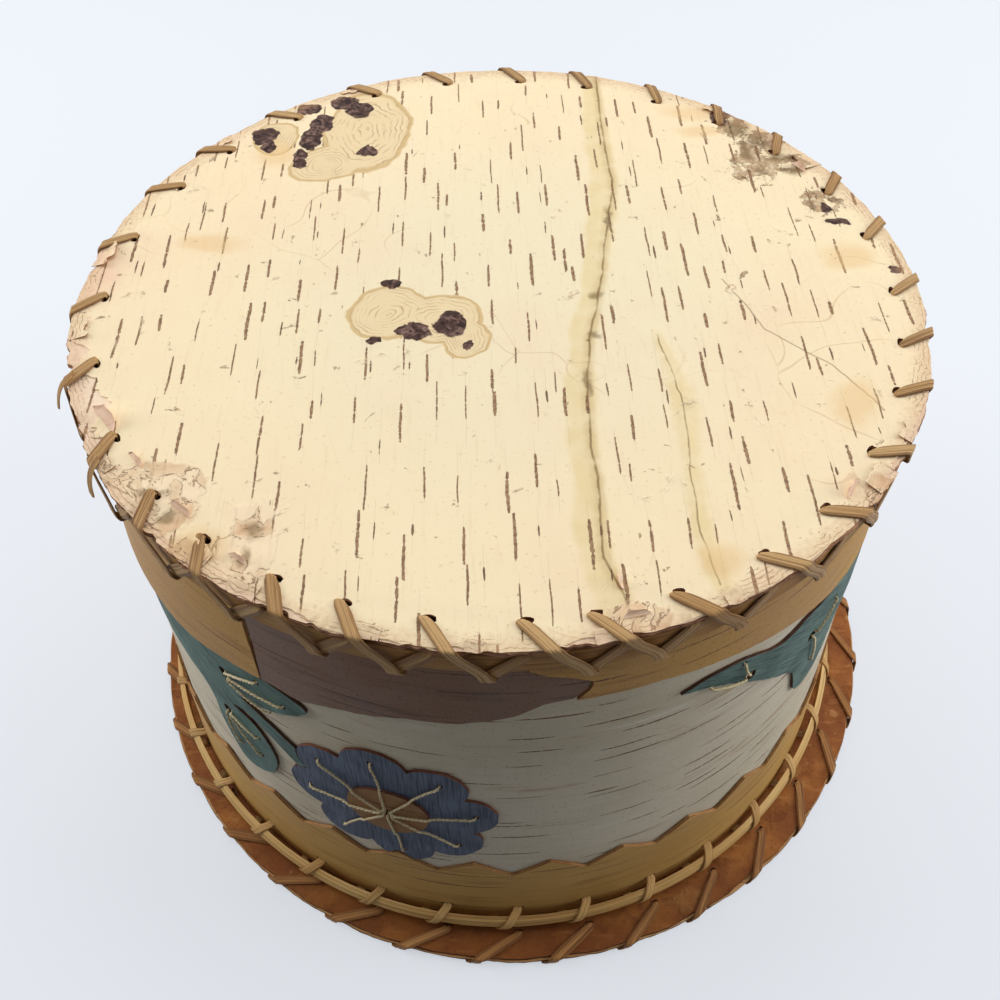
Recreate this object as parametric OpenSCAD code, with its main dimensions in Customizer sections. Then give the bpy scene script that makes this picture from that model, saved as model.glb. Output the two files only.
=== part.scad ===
// Round birch bark box with a flat lid, standing upside down on the lid so that the
// laced base is on top. Millimetres, +Z up, origin on the table under the lid's centre.

/* [Box] */
// Height of the box, from the rim of its mouth to the outside of its base
box_h = 202; // [180:1:240]
// Outside diameter of the bark wall at the mouth
mouth_d = 305; // [275:1:345]
// Outside diameter of the bark wall at the base
base_wall_d = 288; // [260:1:330]
// Thickness of the bark wall
wall_t = 2; // [1.4:0.1:3]
// Width of the lap where the two ends of the wall meet
seam_lap = 26; // [18:1:40]
// Thickness of the base disc
base_t = 2.6; // [1.8:0.1:4]
// How far the base disc reaches past its hoop
base_overhang = 1.3; // [0.5:0.1:4]
// How far the lacing has pressed the base disc's edge down
base_press = 0.3; // [0.2:0.05:0.6]
// How far the box stands to the left of the lid's centre
box_left = 4.4; // [0:0.1:6]
// How far the box stands behind the lid's centre
box_back = 1.9; // [0:0.1:4]

/* [Bands] */
// Thickness of the bark bands round the wall
collar_t = 1.2; // [0.8:0.1:2]
// Height of the band at the base, where its wavy edge is in the middle of a swing
base_collar_h = 45; // [30:1:50]
// Swing of the wavy edge, up and down
base_collar_wave = 12; // [0:0.5:14]
// Height of the band at the mouth, in the notches of its zigzag
mouth_collar_h = 41; // [30:1:55]
// Height of one zigzag tooth
tooth_h = 9.5; // [4:0.5:16]
// Number of zigzag teeth
teeth = 33; // [24:1:42]
// Height of the split wood hoop at the base
base_hoop_h = 9; // [6:0.5:12]
// Thickness of the split wood hoop at the base
base_hoop_t = 3; // [2:0.1:4.5]
// Height of the half round hoops at the mouth
rim_hoop_h = 8; // [6:0.5:10]
// Thickness of the outer hoop at the mouth
rim_hoop_t = 4.4; // [3.4:0.1:6]
// Thickness of the inner hoop at the mouth
inner_hoop_t = 4; // [3.2:0.1:6]

/* [Lid] */
// Thickness of the lid's outer disc
lid_outer_t = 2.4; // [2.2:0.1:4]
// Thickness of the lid's inner disc
lid_inner_t = 1.6; // [1:0.1:3]
// How far the lid reaches past the hoop at the mouth
lid_overhang = 10.6; // [9:0.1:20]
// How far the inner disc stays back from the edge of the outer one
lid_inset = 0.8; // [0.3:0.1:1.5]
// Height of the ring that keeps the lid in the mouth
ring_h = 28; // [16:1:45]
// Thickness of that ring
ring_t = 2; // [1.6:0.1:3]
// Play between the ring's lacing and the lacing inside the mouth
ring_play = 0.8; // [0.5:0.1:3]

/* [Lacing] */
// Width of the split root straps
strap_w = 3.8; // [2.5:0.1:4.5]
// Thickness of the straps
strap_t = 0.9; // [0.6:0.05:1.2]
// Distance from the base disc's edge to its lacing holes
base_hole_in = 10.5; // [9.5:0.1:14]
// Distance from the lid's edge to its lacing holes
lid_hole_in = 11.5; // [9:0.1:16]
// Number of wraps round the mouth
rim_wraps = 34; // [24:1:40]
// Number of stitches round the lid
lid_stitches = 34; // [24:1:40]
// Number of stitches that hold the lid's ring
ring_stitches = 10; // [6:1:20]
// Number of stitches up the wall's seam
seam_stitches = 7; // [4:1:9]

/* [Decoration] */
// Thickness of the dyed bark pieces
cut_t = 1; // [0.6:0.1:1.5]
// Number of petals on a flower
petals = 8; // [5:1:10]
// Distance from a flower's middle to the tips of its petals
petal_r = 40; // [36:0.5:42]
// Distance from a flower's middle to the notches between its petals
notch_r = 31; // [26:0.5:34]
// Distance from a flower's middle to the thread holes
thread_hole_r = 32; // [22:0.5:33]
// Radius of a flower's round centre
flower_centre_r = 17.5; // [12:0.5:20]
// Diameter of the sinew threads
thread_d = 1.1; // [0.8:0.05:1.4]

/* [Hidden] */
$fn = 96;

// colours, as the bark, wood and root look in daylight
birch = [0.94, 0.87, 0.74];
inner_bark = [0.62, 0.36, 0.20];
gold_bark = [0.72, 0.56, 0.34];
rind = [0.50, 0.40, 0.35];
split_wood = [0.78, 0.62, 0.38];
root = [0.62, 0.48, 0.28];
leaf_dye = [0.30, 0.41, 0.41];
petal_dye = [0.29, 0.33, 0.46];
sinew = [0.86, 0.80, 0.62];

// gaps: between layers that lie on each other, and between the box and its lid
skin = 0.15;
run_gap = 0.3;
// room left round a strap in its hole, each way
hole_room = 0.6;
strap_lift = skin + strap_t / 2;

// half round hoops: radius of the round side, and how far a wrap stands off it
function bow_r(h, t) = (h * h / 4 + t * t) / (2 * t);
bend_step = 30;
rim_bow = bow_r(rim_hoop_h, rim_hoop_t);
inner_bow = bow_r(rim_hoop_h, inner_hoop_t);
function wrap_r(bow) = (bow + skin / 2) / cos(bend_step / 2) + strap_t / 2;
rim_wrap_r = wrap_r(rim_bow);
inner_wrap_r = wrap_r(inner_bow);
wrap_drop = max(rim_wrap_r, inner_wrap_r) + strap_t / 2 - rim_hoop_h / 2;

// heights, from the table up
lid_pare = strap_t + 2 * skin;
lid_top = lid_outer_t + lid_inner_t;
rim_z = lid_top + skin + strap_t + run_gap + wrap_drop;
box_top = rim_z + box_h;
base_z = box_top - base_t;
press_z = box_top - base_press;
rim_mid_z = rim_z + rim_hoop_h / 2;
rim_slit_z = rim_mid_z + max(rim_wrap_r, inner_wrap_r);
hoop_top_z = base_z - strap_t - 3 * skin;
hoop_z = hoop_top_z - base_hoop_h;
slit_room = 2 * strap_t + 4 * skin + hole_room;
base_slit_z = hoop_z - skin - slit_room / 2;

// radii, about the box's own axis
function wall_r(z) = (mouth_d + (base_wall_d - mouth_d) * (z - rim_z) / (base_z - rim_z)) / 2;
collar_lift = skin;
over_collar = 2 * skin + collar_t;
base_hoop_in = wall_r(hoop_z) + over_collar;
base_hoop_r = base_hoop_in + base_hoop_t;
base_r = base_hoop_r + base_overhang;
base_hole_r = base_r - base_hole_in;
rim_hoop_in = wall_r(rim_z) + over_collar;
rim_hoop_r = rim_hoop_in + rim_hoop_t;
rim_bow_r = rim_hoop_r - rim_bow;
inner_hoop_out = wall_r(rim_z + rim_hoop_h) - wall_t - skin;
inner_hoop_in = inner_hoop_out - inner_hoop_t;
inner_bow_r = inner_hoop_in + inner_bow;
ring_r = inner_bow_r - inner_wrap_r - strap_t / 2 - ring_play - strap_t - 2 * skin;
ring_in = ring_r - ring_t;
ring_hole_z = lid_top + 6;
ring_groove = strap_t + 2 * skin;

// radii, about the lid's axis
lid_r = rim_hoop_r + lid_overhang;
lid_hole_r = lid_r - lid_hole_in;

// where the bars that cut slits and outlines begin and end
bar_start = 0.8 * min(base_wall_d, mouth_d) / 2;
bar_end = max(base_r, lid_r) + 10;

// angles, in degrees round the box; -90 faces the front
seam_angle = 90;
base_holes = [-98, -87, -79, -69, -57, -46, -34, -22, -12, -1, 12, 24, 37, 49, 61, 74, 86,
  99, 112, 127, 141, 153, 167, 181, 195, 210, 222, 232, 243, 252];
edge_turn = 3.2;
base_turn = 7.5;
return_turn = 3.6;
rim_first = -98;
rim_turn = 3.6;
lid_first = -99.5;
tooth_first = 4.6;
lid_turn = 5.4;
light_from = -79;
dark_from = -121.5;
joint_cut = 0.5;
// half the width of the blunt tip that the knife leaves on a zigzag tooth
tooth_tip = 0.4;

// the decorated field between the two bands, which the cut bark fills
base_waves = 3;
base_crest = -76;
function base_edge(a) = base_z - base_collar_h + base_collar_wave * cos(base_waves * (a - base_crest));
tooth_valley_z = rim_z + mouth_collar_h;
tooth_peak_z = tooth_valley_z + tooth_h;
field_low = tooth_peak_z;
field_high = base_z - base_collar_h;
art_h = 104;
art = (field_high - field_low) / art_h;
art_mid = (field_high + field_low) / 2 + 1.5 * art;
cut_lift = skin;
over_cut = cut_lift + cut_t + skin;

// flowers: the place of the middle, as an angle and a height over the middle of the field
front_flower = [-105.2, -17.8];
side_flower = [9, -14];
petal_phase = 7;
petal_step = 6;
// how far out from the middle of a wide hole its threads come up
knot_r = 1.8 * thread_d;
// how far a cut piece ends short of its neighbour
cut_room = 0.4;
thread_room = 0.55;

// sprays: outlines in millimetres from the middle of the field, across and up, then the wide
// holes and the places their threads go to, in order with the clock
front_spray_at = -135;
front_spray_edge = [[-66, 41], [-48, 39], [-28, 34], [-12, 33], [0, 36], [10, 41], [20, 42],
  [33, 42], [43, 40], [53, 35], [48, 29], [38, 22], [26, 18], [17, 15], [23, 16], [34, 9],
  [50, -4], [46, -15], [31, 1], [20, 8], [13, 4], [24, 1], [29, -8], [32, -20], [28, -33],
  [18, -40], [10, -40], [6, -31], [1, -20], [1, -6], [-2, 2], [-12, 5], [-26, 10], [-44, 20],
  [-60, 30]];
front_spray_hubs = [[15, 26], [9, -5]];
front_spray_tips = [[[32, 37], [42, 30], [35, 20]], [[24, -9], [23, -23], [12, -26]]];
side_spray_at = -28;
side_spray_edge = [[-99, 48], [-91, 51], [-80, 52], [-70, 49], [-62, 44], [-53, 43], [-42, 46],
  [-25, 45], [0, 37], [30, 19], [66, -8], [60, -20], [24, 5], [2, 17], [-12, 13], [-20, 1],
  [-26, -8], [-34, -12], [-40, -8], [-40, 3], [-46, 14], [-58, 22], [-73, 35], [-85, 44]];
side_spray_hubs = [[-71, 37], [-36, 26]];
side_spray_tips = [[[-88, 44], [-75, 48]], [[-22, 33], [-31, 4]]];

// ---------- shapes shared by the pieces ----------

function polar(r, a, z) = [r * cos(a), r * sin(a), z];
function unit(v) = v / norm(v);
function turn_by(arc, r) = arc / r * 180 / PI;

// Moves what is drawn about the box's axis to where the box stands on its lid
module on_box() {
  translate([-box_left, box_back, 0]) children();
}

// A skin that follows the wall, lift away from it
module wall_skin(z0, z1, lift, t, from = 0, sweep = 360) {
  rotate([0, 0, from])
    rotate_extrude(angle = sweep)
      polygon([[wall_r(z0) + lift, z0], [wall_r(z0) + lift + t, z0],
        [wall_r(z1) + lift + t, z1], [wall_r(z1) + lift, z1]]);
}

module tube(r_out, r_in, z0, z1) {
  rotate_extrude()
    polygon([[r_in, z0], [r_out, z0], [r_out, z1], [r_in, z1]]);
}

// A bar pointing away from the axis with the outline of its child: x runs round, y runs up
module radial_bar(a, start = bar_start) {
  rotate([0, 0, a])
    translate([start, 0, 0])
      rotate([90, 0, 90])
        linear_extrude(height = bar_end - start)
          children();
}

// A slit for a strap through an upright wall
module wall_slit(a, z, h) {
  radial_bar(a)
    translate([0, z])
      square([strap_w + 2 * hole_room, h], center = true);
}

// A slit for a strap through a flat disc
module disc_slit(a, r, z, t) {
  rotate([0, 0, a])
    translate([r, 0, z + t / 2])
      cube([strap_t + 2.4 * hole_room, strap_w + 2 * hole_room, t + 2], center = true);
}

// A thin cut across a band where its two ends meet, slanted as a knife leaves it
module end_cut(a, z, slant) {
  radial_bar(a)
    translate([0, z])
      rotate(slant)
        square([joint_cut, 4 * base_collar_h], center = true);
}

// A flat strap along path points [radius, angle, height]. Its cross-sections lie round the
// box, so that a slanting strap folds over an edge along that edge; upright ones stand on end
module strap(path, upright = false) {
  n = len(path);
  at = [for (p = path) polar(p[0], p[1], p[2])];
  corners = [for (i = [0 : n - 1])
    let (a = path[i][1],
      along = unit(at[min(i + 1, n - 1)] - at[max(i - 1, 0)]),
      across = upright ? [0, 0, 1] : [-sin(a), cos(a), 0],
      lean = sqrt(1 - pow(along * across, 2)),
      side = across * strap_w / 2 / max(lean, 0.6),
      up = unit(cross(across, along)) * strap_t / 2)
    each [at[i] - side - up, at[i] + side - up, at[i] + side + up, at[i] - side + up]];
  sides = [for (i = [0 : n - 2], k = [0 : 3])
    let (p = 4 * i + k, q = 4 * i + (k + 1) % 4)
    each [[p, p + 4, q], [q, p + 4, q + 4]]];
  last = 4 * (n - 1);
  ends = [[0, 1, 2], [0, 2, 3], [last, last + 2, last + 1], [last, last + 3, last + 2]];
  polyhedron(points = corners, faces = concat(sides, ends), convexity = 6);
}

// A round thread along points [angle, height, lift over the wall]
module thread(path, d = thread_d, around = 6) {
  n = len(path);
  at = [for (p = path) polar(wall_r(p[1]) + p[2], p[0], p[1])];
  ring = [for (i = [0 : n - 1])
    let (along = unit(at[min(i + 1, n - 1)] - at[max(i - 1, 0)]),
      u = unit(cross(along, polar(1, path[i][0], 0.2))),
      v = cross(along, u))
    for (k = [0 : around - 1])
      at[i] + d / 2 * (cos(360 * k / around) * u + sin(360 * k / around) * v)];
  sides = [for (i = [0 : n - 2], k = [0 : around - 1])
    let (p = around * i + k, q = around * i + (k + 1) % around)
    each [[p, q, p + around], [q, q + around, p + around]]];
  last = around * (n - 1);
  ends = [for (k = [1 : around - 2])
    each [[0, k + 1, k], [last, last + k, last + k + 1]]];
  polyhedron(points = ring, faces = concat(sides, ends), convexity = 6);
}

// A half round hoop: side 1 is round outwards, -1 inwards
module half_round(flat_r, h, t, side) {
  bow = bow_r(h, t);
  half = asin(h / 2 / bow);
  start = t > h / 2 ? 180 - half : half;
  rotate_extrude()
    polygon([for (k = [0 : 12])
      let (f = start - 2 * start * k / 12)
      [flat_r + side * (t - bow + bow * cos(f)), rim_mid_z + bow * sin(f)]]);
}

// ---------- dyed bark cut-outs and their threads ----------

// A place on the decorated field, from millimetres across and up, as an angle and a height
function on_field(at, p) = let (z = art_mid + art * p[1]) [at + turn_by(art * p[0], wall_r(z)), z];
// The same place on the flat of a radial bar at that angle
function on_bar(at, p) = let (q = on_field(at, p)) [wall_r(q[1]) * sin(q[0] - at), q[1]];

module cut_bark(at, lift, t) {
  intersection() {
    wall_skin(rim_z, base_z, lift, t);
    radial_bar(at, bar_start / 2) children();
  }
}

// A round hole through the cut bark; with middle true it is wide enough for several threads
module thread_hole(at, p, middle) {
  q = on_field(at, p);
  rotate([0, 0, q[0]])
    translate([bar_start, 0, q[1]])
      rotate([0, 90, 0])
        cylinder(r = thread_d / 2 + thread_room + (middle ? knot_r : 0), h = bar_end - bar_start);
}

// A thread from p to q, down in its hole at both ends and a little off the bark between
module tie(at, p, q) {
  low = cut_lift + skin + thread_d / 2;
  high = over_cut + thread_d / 2;
  far = art * norm(q - p);
  path = [for (s = [[0, low], [0.4, high], [far / 2, high + 0.4], [far - 0.4, high], [far, low]])
    let (f = on_field(at, p + (q - p) * s[0] / far))
    [f[0], f[1], s[1]]];
  thread(path);
}

function mean(points) = [for (p = points) 1] * points / len(points);

function petal_edge(a) = notch_r + (petal_r - notch_r) * pow(abs(cos(petals * (a - petal_phase) / 2)), 0.6);
function flower_point(f, a, r) = [0, f[1]] + r * [cos(a), sin(a)];
function petal_angle(i) = petal_phase + 360 * i / petals;

module petal_outline(f, grow) {
  polygon([for (a = [0 : petal_step : 359]) on_bar(f[0], flower_point(f, a, petal_edge(a) + grow))]);
}

module flower_petals(f) {
  color(petal_dye)
    on_box()
      difference() {
        cut_bark(f[0], cut_lift, cut_t)
          petal_outline(f, 0);
        tooth_near(f[0], cut_room);
        thread_hole(f[0], [0, f[1]], true);
        for (i = [0 : petals - 1])
          thread_hole(f[0], flower_point(f, petal_angle(i), thread_hole_r), false);
      }
}

module flower_centre(f) {
  color(inner_bark)
    on_box()
      difference() {
        cut_bark(f[0], over_cut, cut_t)
          polygon([for (a = [0 : petal_step : 359]) on_bar(f[0], flower_point(f, a, flower_centre_r))]);
        thread_hole(f[0], [0, f[1]], true);
      }
}

module flower_threads(f) {
  low = cut_lift + skin + thread_d / 2;
  mid = over_cut + thread_d / 2;
  high = over_cut + cut_t + skin + thread_d / 2;
  reach = art * thread_hole_r;
  step_out = art * flower_centre_r + thread_d;
  color(sinew)
    on_box()
      for (i = [0 : petals - 1]) {
        a = petal_angle(i);
        path = [for (s = [[knot_r, low], [knot_r + 0.3, high + 0.2], [knot_r + 2.5, high + 0.2],
            [step_out - 1, high + 0.2], [step_out + 1, mid + 0.5], [reach - 0.6, mid + 0.2],
            [reach, low]])
          let (q = on_field(f[0], flower_point(f, a, s[0] / art)))
          [q[0], q[1], s[1]]];
        thread(path);
      }
}

// The stem ends against the petals of its flower, and the leaves under the base's band
module spray(at, edge, hubs, tips, f) {
  color(leaf_dye)
    on_box()
      difference() {
        intersection() {
          cut_bark(at, cut_lift, cut_t)
            polygon([for (p = edge) on_bar(at, p)]);
          below_wave(wave_mid(wave_at(at)), cut_room);
        }
        radial_bar(f[0], bar_start / 2)
          petal_outline(f, cut_room);
        for (p = hubs)
          thread_hole(at, p, true);
        for (row = tips, p = row)
          thread_hole(at, p, false);
      }
}

module spray_threads(at, hubs, tips) {
  color(sinew)
    on_box()
      for (i = [0 : len(hubs) - 1]) {
        n = len(tips[i]);
        way = mean(tips[i]) - hubs[i];
        for (k = [0 : n - 1]) {
          a = atan2(way[1], way[0]) + 60 * ((n - 1) / 2 - k);
          tie(at, hubs[i] + knot_r / art * [cos(a), sin(a)], tips[i][k]);
        }
      }
}

// ---------- the lid ----------

module lid_outer_disc() {
  color(birch)
    difference() {
      cylinder(r = lid_r, h = lid_outer_t);
      // the rim is pared underneath, so that the lacing doesn't lift the lid off the table
      tube(lid_r + 1, lid_hole_r - 3, -1, lid_pare);
      // the channel that the ring's lacing runs in
      on_box()
        tube(ring_r + 2 * strap_t + hole_room, ring_in - 2 * strap_t - hole_room,
          lid_outer_t - ring_groove, lid_outer_t + 1);
      lid_hole_row(-1, lid_top);
    }
}

module lid_inner_disc() {
  color(inner_bark)
    difference() {
      translate([0, 0, lid_outer_t])
        cylinder(r = lid_r - lid_inset, h = lid_inner_t);
      lid_hole_row(0, lid_top);
      on_box()
        for (i = [0 : ring_stitches - 1], r = [ring_r + strap_lift, ring_in - strap_lift])
          disc_slit(360 * i / ring_stitches, r, lid_outer_t, lid_inner_t);
    }
}

function lid_angle(i) = lid_first + 360 * i / lid_stitches;

module lid_hole_row(z, t) {
  for (i = [0 : lid_stitches - 1])
    disc_slit(lid_angle(i), lid_hole_r, z, t);
}

// One whip stitch: up through its hole, over the edge and back under to the next hole
module lid_edge_lacing() {
  top = lid_top + strap_lift;
  under = lid_pare - strap_lift;
  half_gap = run_gap / 2;
  meet = (lid_top + lid_pare) / 2;
  edge = lid_r + strap_lift;
  pitch = 360 / lid_stitches;
  color(root)
    for (i = [0 : lid_stitches - 1]) {
      a = lid_angle(i);
      strap([[lid_hole_r, a, meet + half_gap], [lid_hole_r, a, lid_top - 0.1],
        [lid_hole_r + 0.5, a, top - 0.15], [lid_hole_r + 1.7, a - 0.4, top],
        [lid_r - 0.6, a - lid_turn + 0.4, top], [lid_r + 0.4, a - lid_turn, top - 0.2],
        [edge, a - lid_turn - 0.3, top - 1.2], [edge, a - lid_turn - 0.6, under + 1],
        [lid_r + 0.4, a - lid_turn - 0.9, under + 0.1], [lid_r - 0.9, a - lid_turn - 1.3, under],
        [lid_hole_r + 1.7, a - pitch + 0.4, under], [lid_hole_r + 0.5, a - pitch, under + 0.15],
        [lid_hole_r, a - pitch, lid_pare + 0.1], [lid_hole_r, a - pitch, meet - half_gap]]);
    }
}

module lid_ring() {
  color(gold_bark)
    on_box()
      difference() {
        tube(ring_r, ring_in, lid_top, lid_top + ring_h);
        for (i = [0 : ring_stitches - 1])
          wall_slit(360 * i / ring_stitches, ring_hole_z, strap_t + 2 * hole_room);
        end_cut(seam_angle + 180 / ring_stitches, ring_hole_z, 0);
      }
}

// One loop of root: through the ring, down on both sides and under the inner disc
module lid_ring_lacing() {
  out = ring_r + strap_lift;
  in = ring_in - strap_lift;
  under = lid_outer_t - strap_lift;
  middle = (ring_r + ring_in) / 2;
  color(root)
    on_box()
      for (i = [0 : ring_stitches - 1]) {
        a = 360 * i / ring_stitches;
        strap([[middle + run_gap / 2, a, ring_hole_z], [ring_r + 0.1, a, ring_hole_z],
          [out, a, ring_hole_z - 0.6], [out, a, under + 0.5], [out - 0.5, a, under],
          [in + 0.5, a, under], [in, a, under + 0.5], [in, a, ring_hole_z - 0.6],
          [ring_in - 0.1, a, ring_hole_z], [middle - run_gap / 2, a, ring_hole_z]]);
      }
}

// ---------- the wall and its bands ----------

seam_half = turn_by(seam_lap / 2, mouth_d / 2);
seam_hole_turn = 0.65 * seam_half;
seam_rise = 5;
function seam_z(i) = tooth_peak_z + 8
  + (base_edge(seam_angle) - tooth_peak_z - 16) * i / (seam_stitches - 1);

module wall() {
  color(birch)
    on_box()
      difference() {
        wall_skin(rim_z, base_z, -wall_t, wall_t);
        wall_lap();
        rim_slit_row();
        base_slit_row();
        for (i = [0 : seam_stitches - 1], s = [-1, 1])
          radial_bar(seam_angle + s * seam_hole_turn)
            translate([0, seam_z(i) + s * seam_rise / 2])
              square([strap_t + 2 * hole_room, strap_w + 2 * hole_room], center = true);
      }
}

// Each end of the wall is thinned to half where they lap, so the seam lies flush
module wall_lap() {
  cut = skin;
  z0 = rim_z - 1;
  z1 = base_z + 1;
  wall_skin(z0, z1, -wall_t / 2 - cut / 2, wall_t / 2 + cut + 1, seam_angle - seam_half - 0.2, 0.2);
  wall_skin(z0, z1, -wall_t / 2 - cut / 2, cut, seam_angle - seam_half - 0.1, 2 * seam_half + 0.2);
  wall_skin(z0, z1, -wall_t - 1, wall_t / 2 + cut + 1, seam_angle + seam_half, 0.2);
}

module wall_seam_lacing() {
  color(root)
    on_box()
      for (i = [0 : seam_stitches - 1]) {
        z = seam_z(i);
        path = [for (s = [[-1, -1.4], [-0.96, 0.45], [-0.75, 0.85], [0, 0.85], [0.75, 0.85],
            [0.96, 0.45], [1, -1.4]])
          let (h = z + s[0] * seam_rise / 2)
          [wall_r(h) + s[1], seam_angle + s[0] * seam_hole_turn, h]];
        strap(path, upright = true);
      }
}

function rim_angle(i) = rim_first + 360 * i / rim_wraps;

module rim_slit_row() {
  for (i = [0 : rim_wraps - 1])
    wall_slit(rim_angle(i), rim_slit_z, strap_t + 2 * hole_room);
}

module base_slit_row(from = -180, to = 360) {
  for (h = base_holes)
    let (a = h + base_turn, b = a > to ? a - 360 : a < from ? a + 360 : a)
      if (b >= from && b <= to)
        wall_slit(b, base_slit_z, slit_room);
}

tooth_wide = (wall_r(tooth_peak_z) + collar_t) * sin(180 / teeth) - tooth_tip;
function tooth_angle(i) = tooth_first + 360 * i / teeth;

// The zigzag's tooth nearest to an angle, a little larger all round, for what lies against it
module tooth_near(at, grow) {
  for (i = [0 : teeth - 1])
    if (cos(tooth_angle(i) - at) > cos(180 / teeth))
      radial_bar(tooth_angle(i))
        polygon([[-tooth_wide - 2 * grow, rim_z], [-tooth_wide - 2 * grow, tooth_valley_z + grow],
          [0, tooth_peak_z + grow], [tooth_wide + 2 * grow, tooth_valley_z + grow],
          [tooth_wide + 2 * grow, rim_z]]);
}

module mouth_collar() {
  color(gold_bark)
    on_box()
      difference() {
        wall_skin(rim_z, tooth_peak_z, collar_lift, collar_t);
        for (i = [0 : teeth - 1])
          radial_bar(tooth_angle(i + 0.5), wall_r(tooth_peak_z) - 0.5)
            polygon([[0, tooth_valley_z], [tooth_wide, tooth_peak_z - 0.1],
              [tooth_wide, tooth_peak_z + 5], [-tooth_wide, tooth_peak_z + 5],
              [-tooth_wide, tooth_peak_z - 0.1]]);
        rim_slit_row();
        end_cut(tooth_angle(floor(teeth / 4)) + 90 / teeth, rim_slit_z, 0);
      }
}

// What lies below one wave of the base band's edge, from crest to crest, less a little
module below_wave(mid, drop = 0) {
  half = 180 / base_waves;
  parts = 24;
  deep = rim_z;
  wide = (max(wall_r(base_z - base_collar_h - base_collar_wave), wall_r(base_z))
    + collar_lift + collar_t + 2) * sin(half);
  edge = [for (k = [0 : parts])
    let (b = mid + half * (2 * k / parts - 1), z = base_edge(b))
    [wall_r(z) * sin(b - mid), z - drop]];
  radial_bar(mid, bar_start / 3)
    polygon(concat([[-wide, deep], [-wide, edge[0][1]]], edge,
      [[wide, edge[parts][1]], [wide, deep]]));
}

function wave_mid(i) = base_crest + (i + 0.5) * 360 / base_waves;
function wave_at(a) = floor((a - base_crest) / 360 * base_waves);

module base_collar(from, sweep, t) {
  low = base_z - base_collar_h - base_collar_wave - 2;
  on_box()
    difference() {
      wall_skin(low, base_z - skin, collar_lift, t, from, sweep);
      for (i = [wave_at(from) : wave_at(from + sweep)])
        below_wave(wave_mid(i));
      base_slit_row(from - 5, from + sweep + 5);
    }
}

module base_collar_light() {
  color(gold_bark)
    base_collar(light_from, 360 + dark_from - light_from, collar_t);
}

module base_collar_dark() {
  gap = turn_by(joint_cut, base_r);
  color(rind)
    base_collar(dark_from + gap, light_from - dark_from - 2 * gap, 0.75 * collar_t);
}

// ---------- hoops ----------

module base_hoop() {
  color(split_wood)
    on_box()
      difference() {
        tube(base_hoop_r, base_hoop_in, hoop_z, hoop_top_z);
        end_cut(seam_angle - 40, (hoop_z + hoop_top_z) / 2, 60);
      }
}

module mouth_hoop_outer() {
  color(split_wood)
    on_box()
      difference() {
        half_round(rim_hoop_in, rim_hoop_h, rim_hoop_t, 1);
        end_cut(seam_angle + 34, rim_mid_z, 60);
      }
}

module mouth_hoop_inner() {
  color(split_wood)
    on_box()
      difference() {
        half_round(inner_hoop_out, rim_hoop_h, inner_hoop_t, -1);
        end_cut(seam_angle - 34, rim_mid_z, -60);
      }
}

// ---------- the base and the lacing ----------

module base_disc() {
  color(birch)
    on_box()
      difference() {
        translate([0, 0, base_z])
          cylinder(r = base_r, h = base_t);
        tube(base_r + 1, base_hole_r - strap_t - hole_room, press_z, box_top + 1);
        for (a = base_holes)
          disc_slit(a, base_hole_r, base_z, base_t);
      }
}

// Each strap comes up through the disc, goes over its edge and down across the hoop
module base_lacing() {
  top = press_z + strap_lift;
  edge = base_r + strap_lift;
  face = max(base_r, base_hoop_r + strap_t + skin) + strap_lift;
  slit = base_slit_z - slit_room / 2 + hole_room / 2 + strap_t / 2;
  wall_mid = wall_r(base_slit_z) - wall_t / 2;
  color(root)
    on_box()
      for (h = base_holes) {
        a = h + edge_turn;
        b = h + base_turn;
        strap([[base_hole_r, h, base_z + 0.4], [base_hole_r, h, press_z - 0.1],
          [base_hole_r + 0.5, h, top - 0.15], [base_hole_r + 1.7, h + 0.4, top],
          [base_r - 0.6, a - 0.3, top], [base_r + 0.4, a, top - 0.2], [edge, a + 0.3, top - 1.2],
          [edge, a + 0.8, base_z - 0.3], [face, a + 1.1, hoop_top_z], [face, b - 0.9, hoop_z + 2],
          [face, b - 0.3, slit + 1], [face - 0.9, b, slit + 0.05], [base_hoop_in, b, slit],
          [wall_mid, b, slit]]);
      }
}

// The other leg of each strap: out of the wall, up the hoop and in under the disc
module base_lacing_returns() {
  slit = base_slit_z + slit_room / 2 - hole_room / 2 - strap_t / 2;
  face = base_hoop_r + strap_lift;
  over = hoop_top_z + strap_lift;
  wall_mid = wall_r(base_slit_z) - wall_t / 2;
  color(root)
    on_box()
      for (h = base_holes) {
        a = h + base_turn;
        b = a + return_turn;
        strap([[wall_mid, a, slit], [base_hoop_r - 0.9, a, slit], [face - 0.1, a + 0.1, slit + 0.5],
          [face, a + 0.5, hoop_z + 1], [face, b - 0.5, hoop_top_z - 1],
          [face - 0.1, b - 0.1, over - 0.3], [face - 1.1, b, over], [base_hoop_in + 0.4, b, over]]);
      }
}

// Closed wraps round both hoops and the rim, through a slit above them
module mouth_lashing() {
  out_turns = [for (f = [90 : -bend_step : -90]) f];
  in_turns = [for (f = [-90 : -bend_step : -270]) f];
  start = wall_r(rim_slit_z) - wall_t / 2 + run_gap;
  stop = wall_r(rim_slit_z) - wall_t / 2 - run_gap;
  color(root)
    on_box()
      for (i = [0 : rim_wraps - 1]) {
        a = rim_angle(i);
        strap(concat([[start, a, rim_slit_z]],
          [for (f = out_turns) [rim_bow_r + rim_wrap_r * cos(f), a - rim_turn * (90 - f) / 180,
            rim_mid_z + rim_wrap_r * sin(f)]],
          [for (f = in_turns) [inner_bow_r + inner_wrap_r * cos(f),
            a - rim_turn * (270 + f) / 180, rim_mid_z + inner_wrap_r * sin(f)]],
          [[stop, a, rim_slit_z]]));
      }
}

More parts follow.
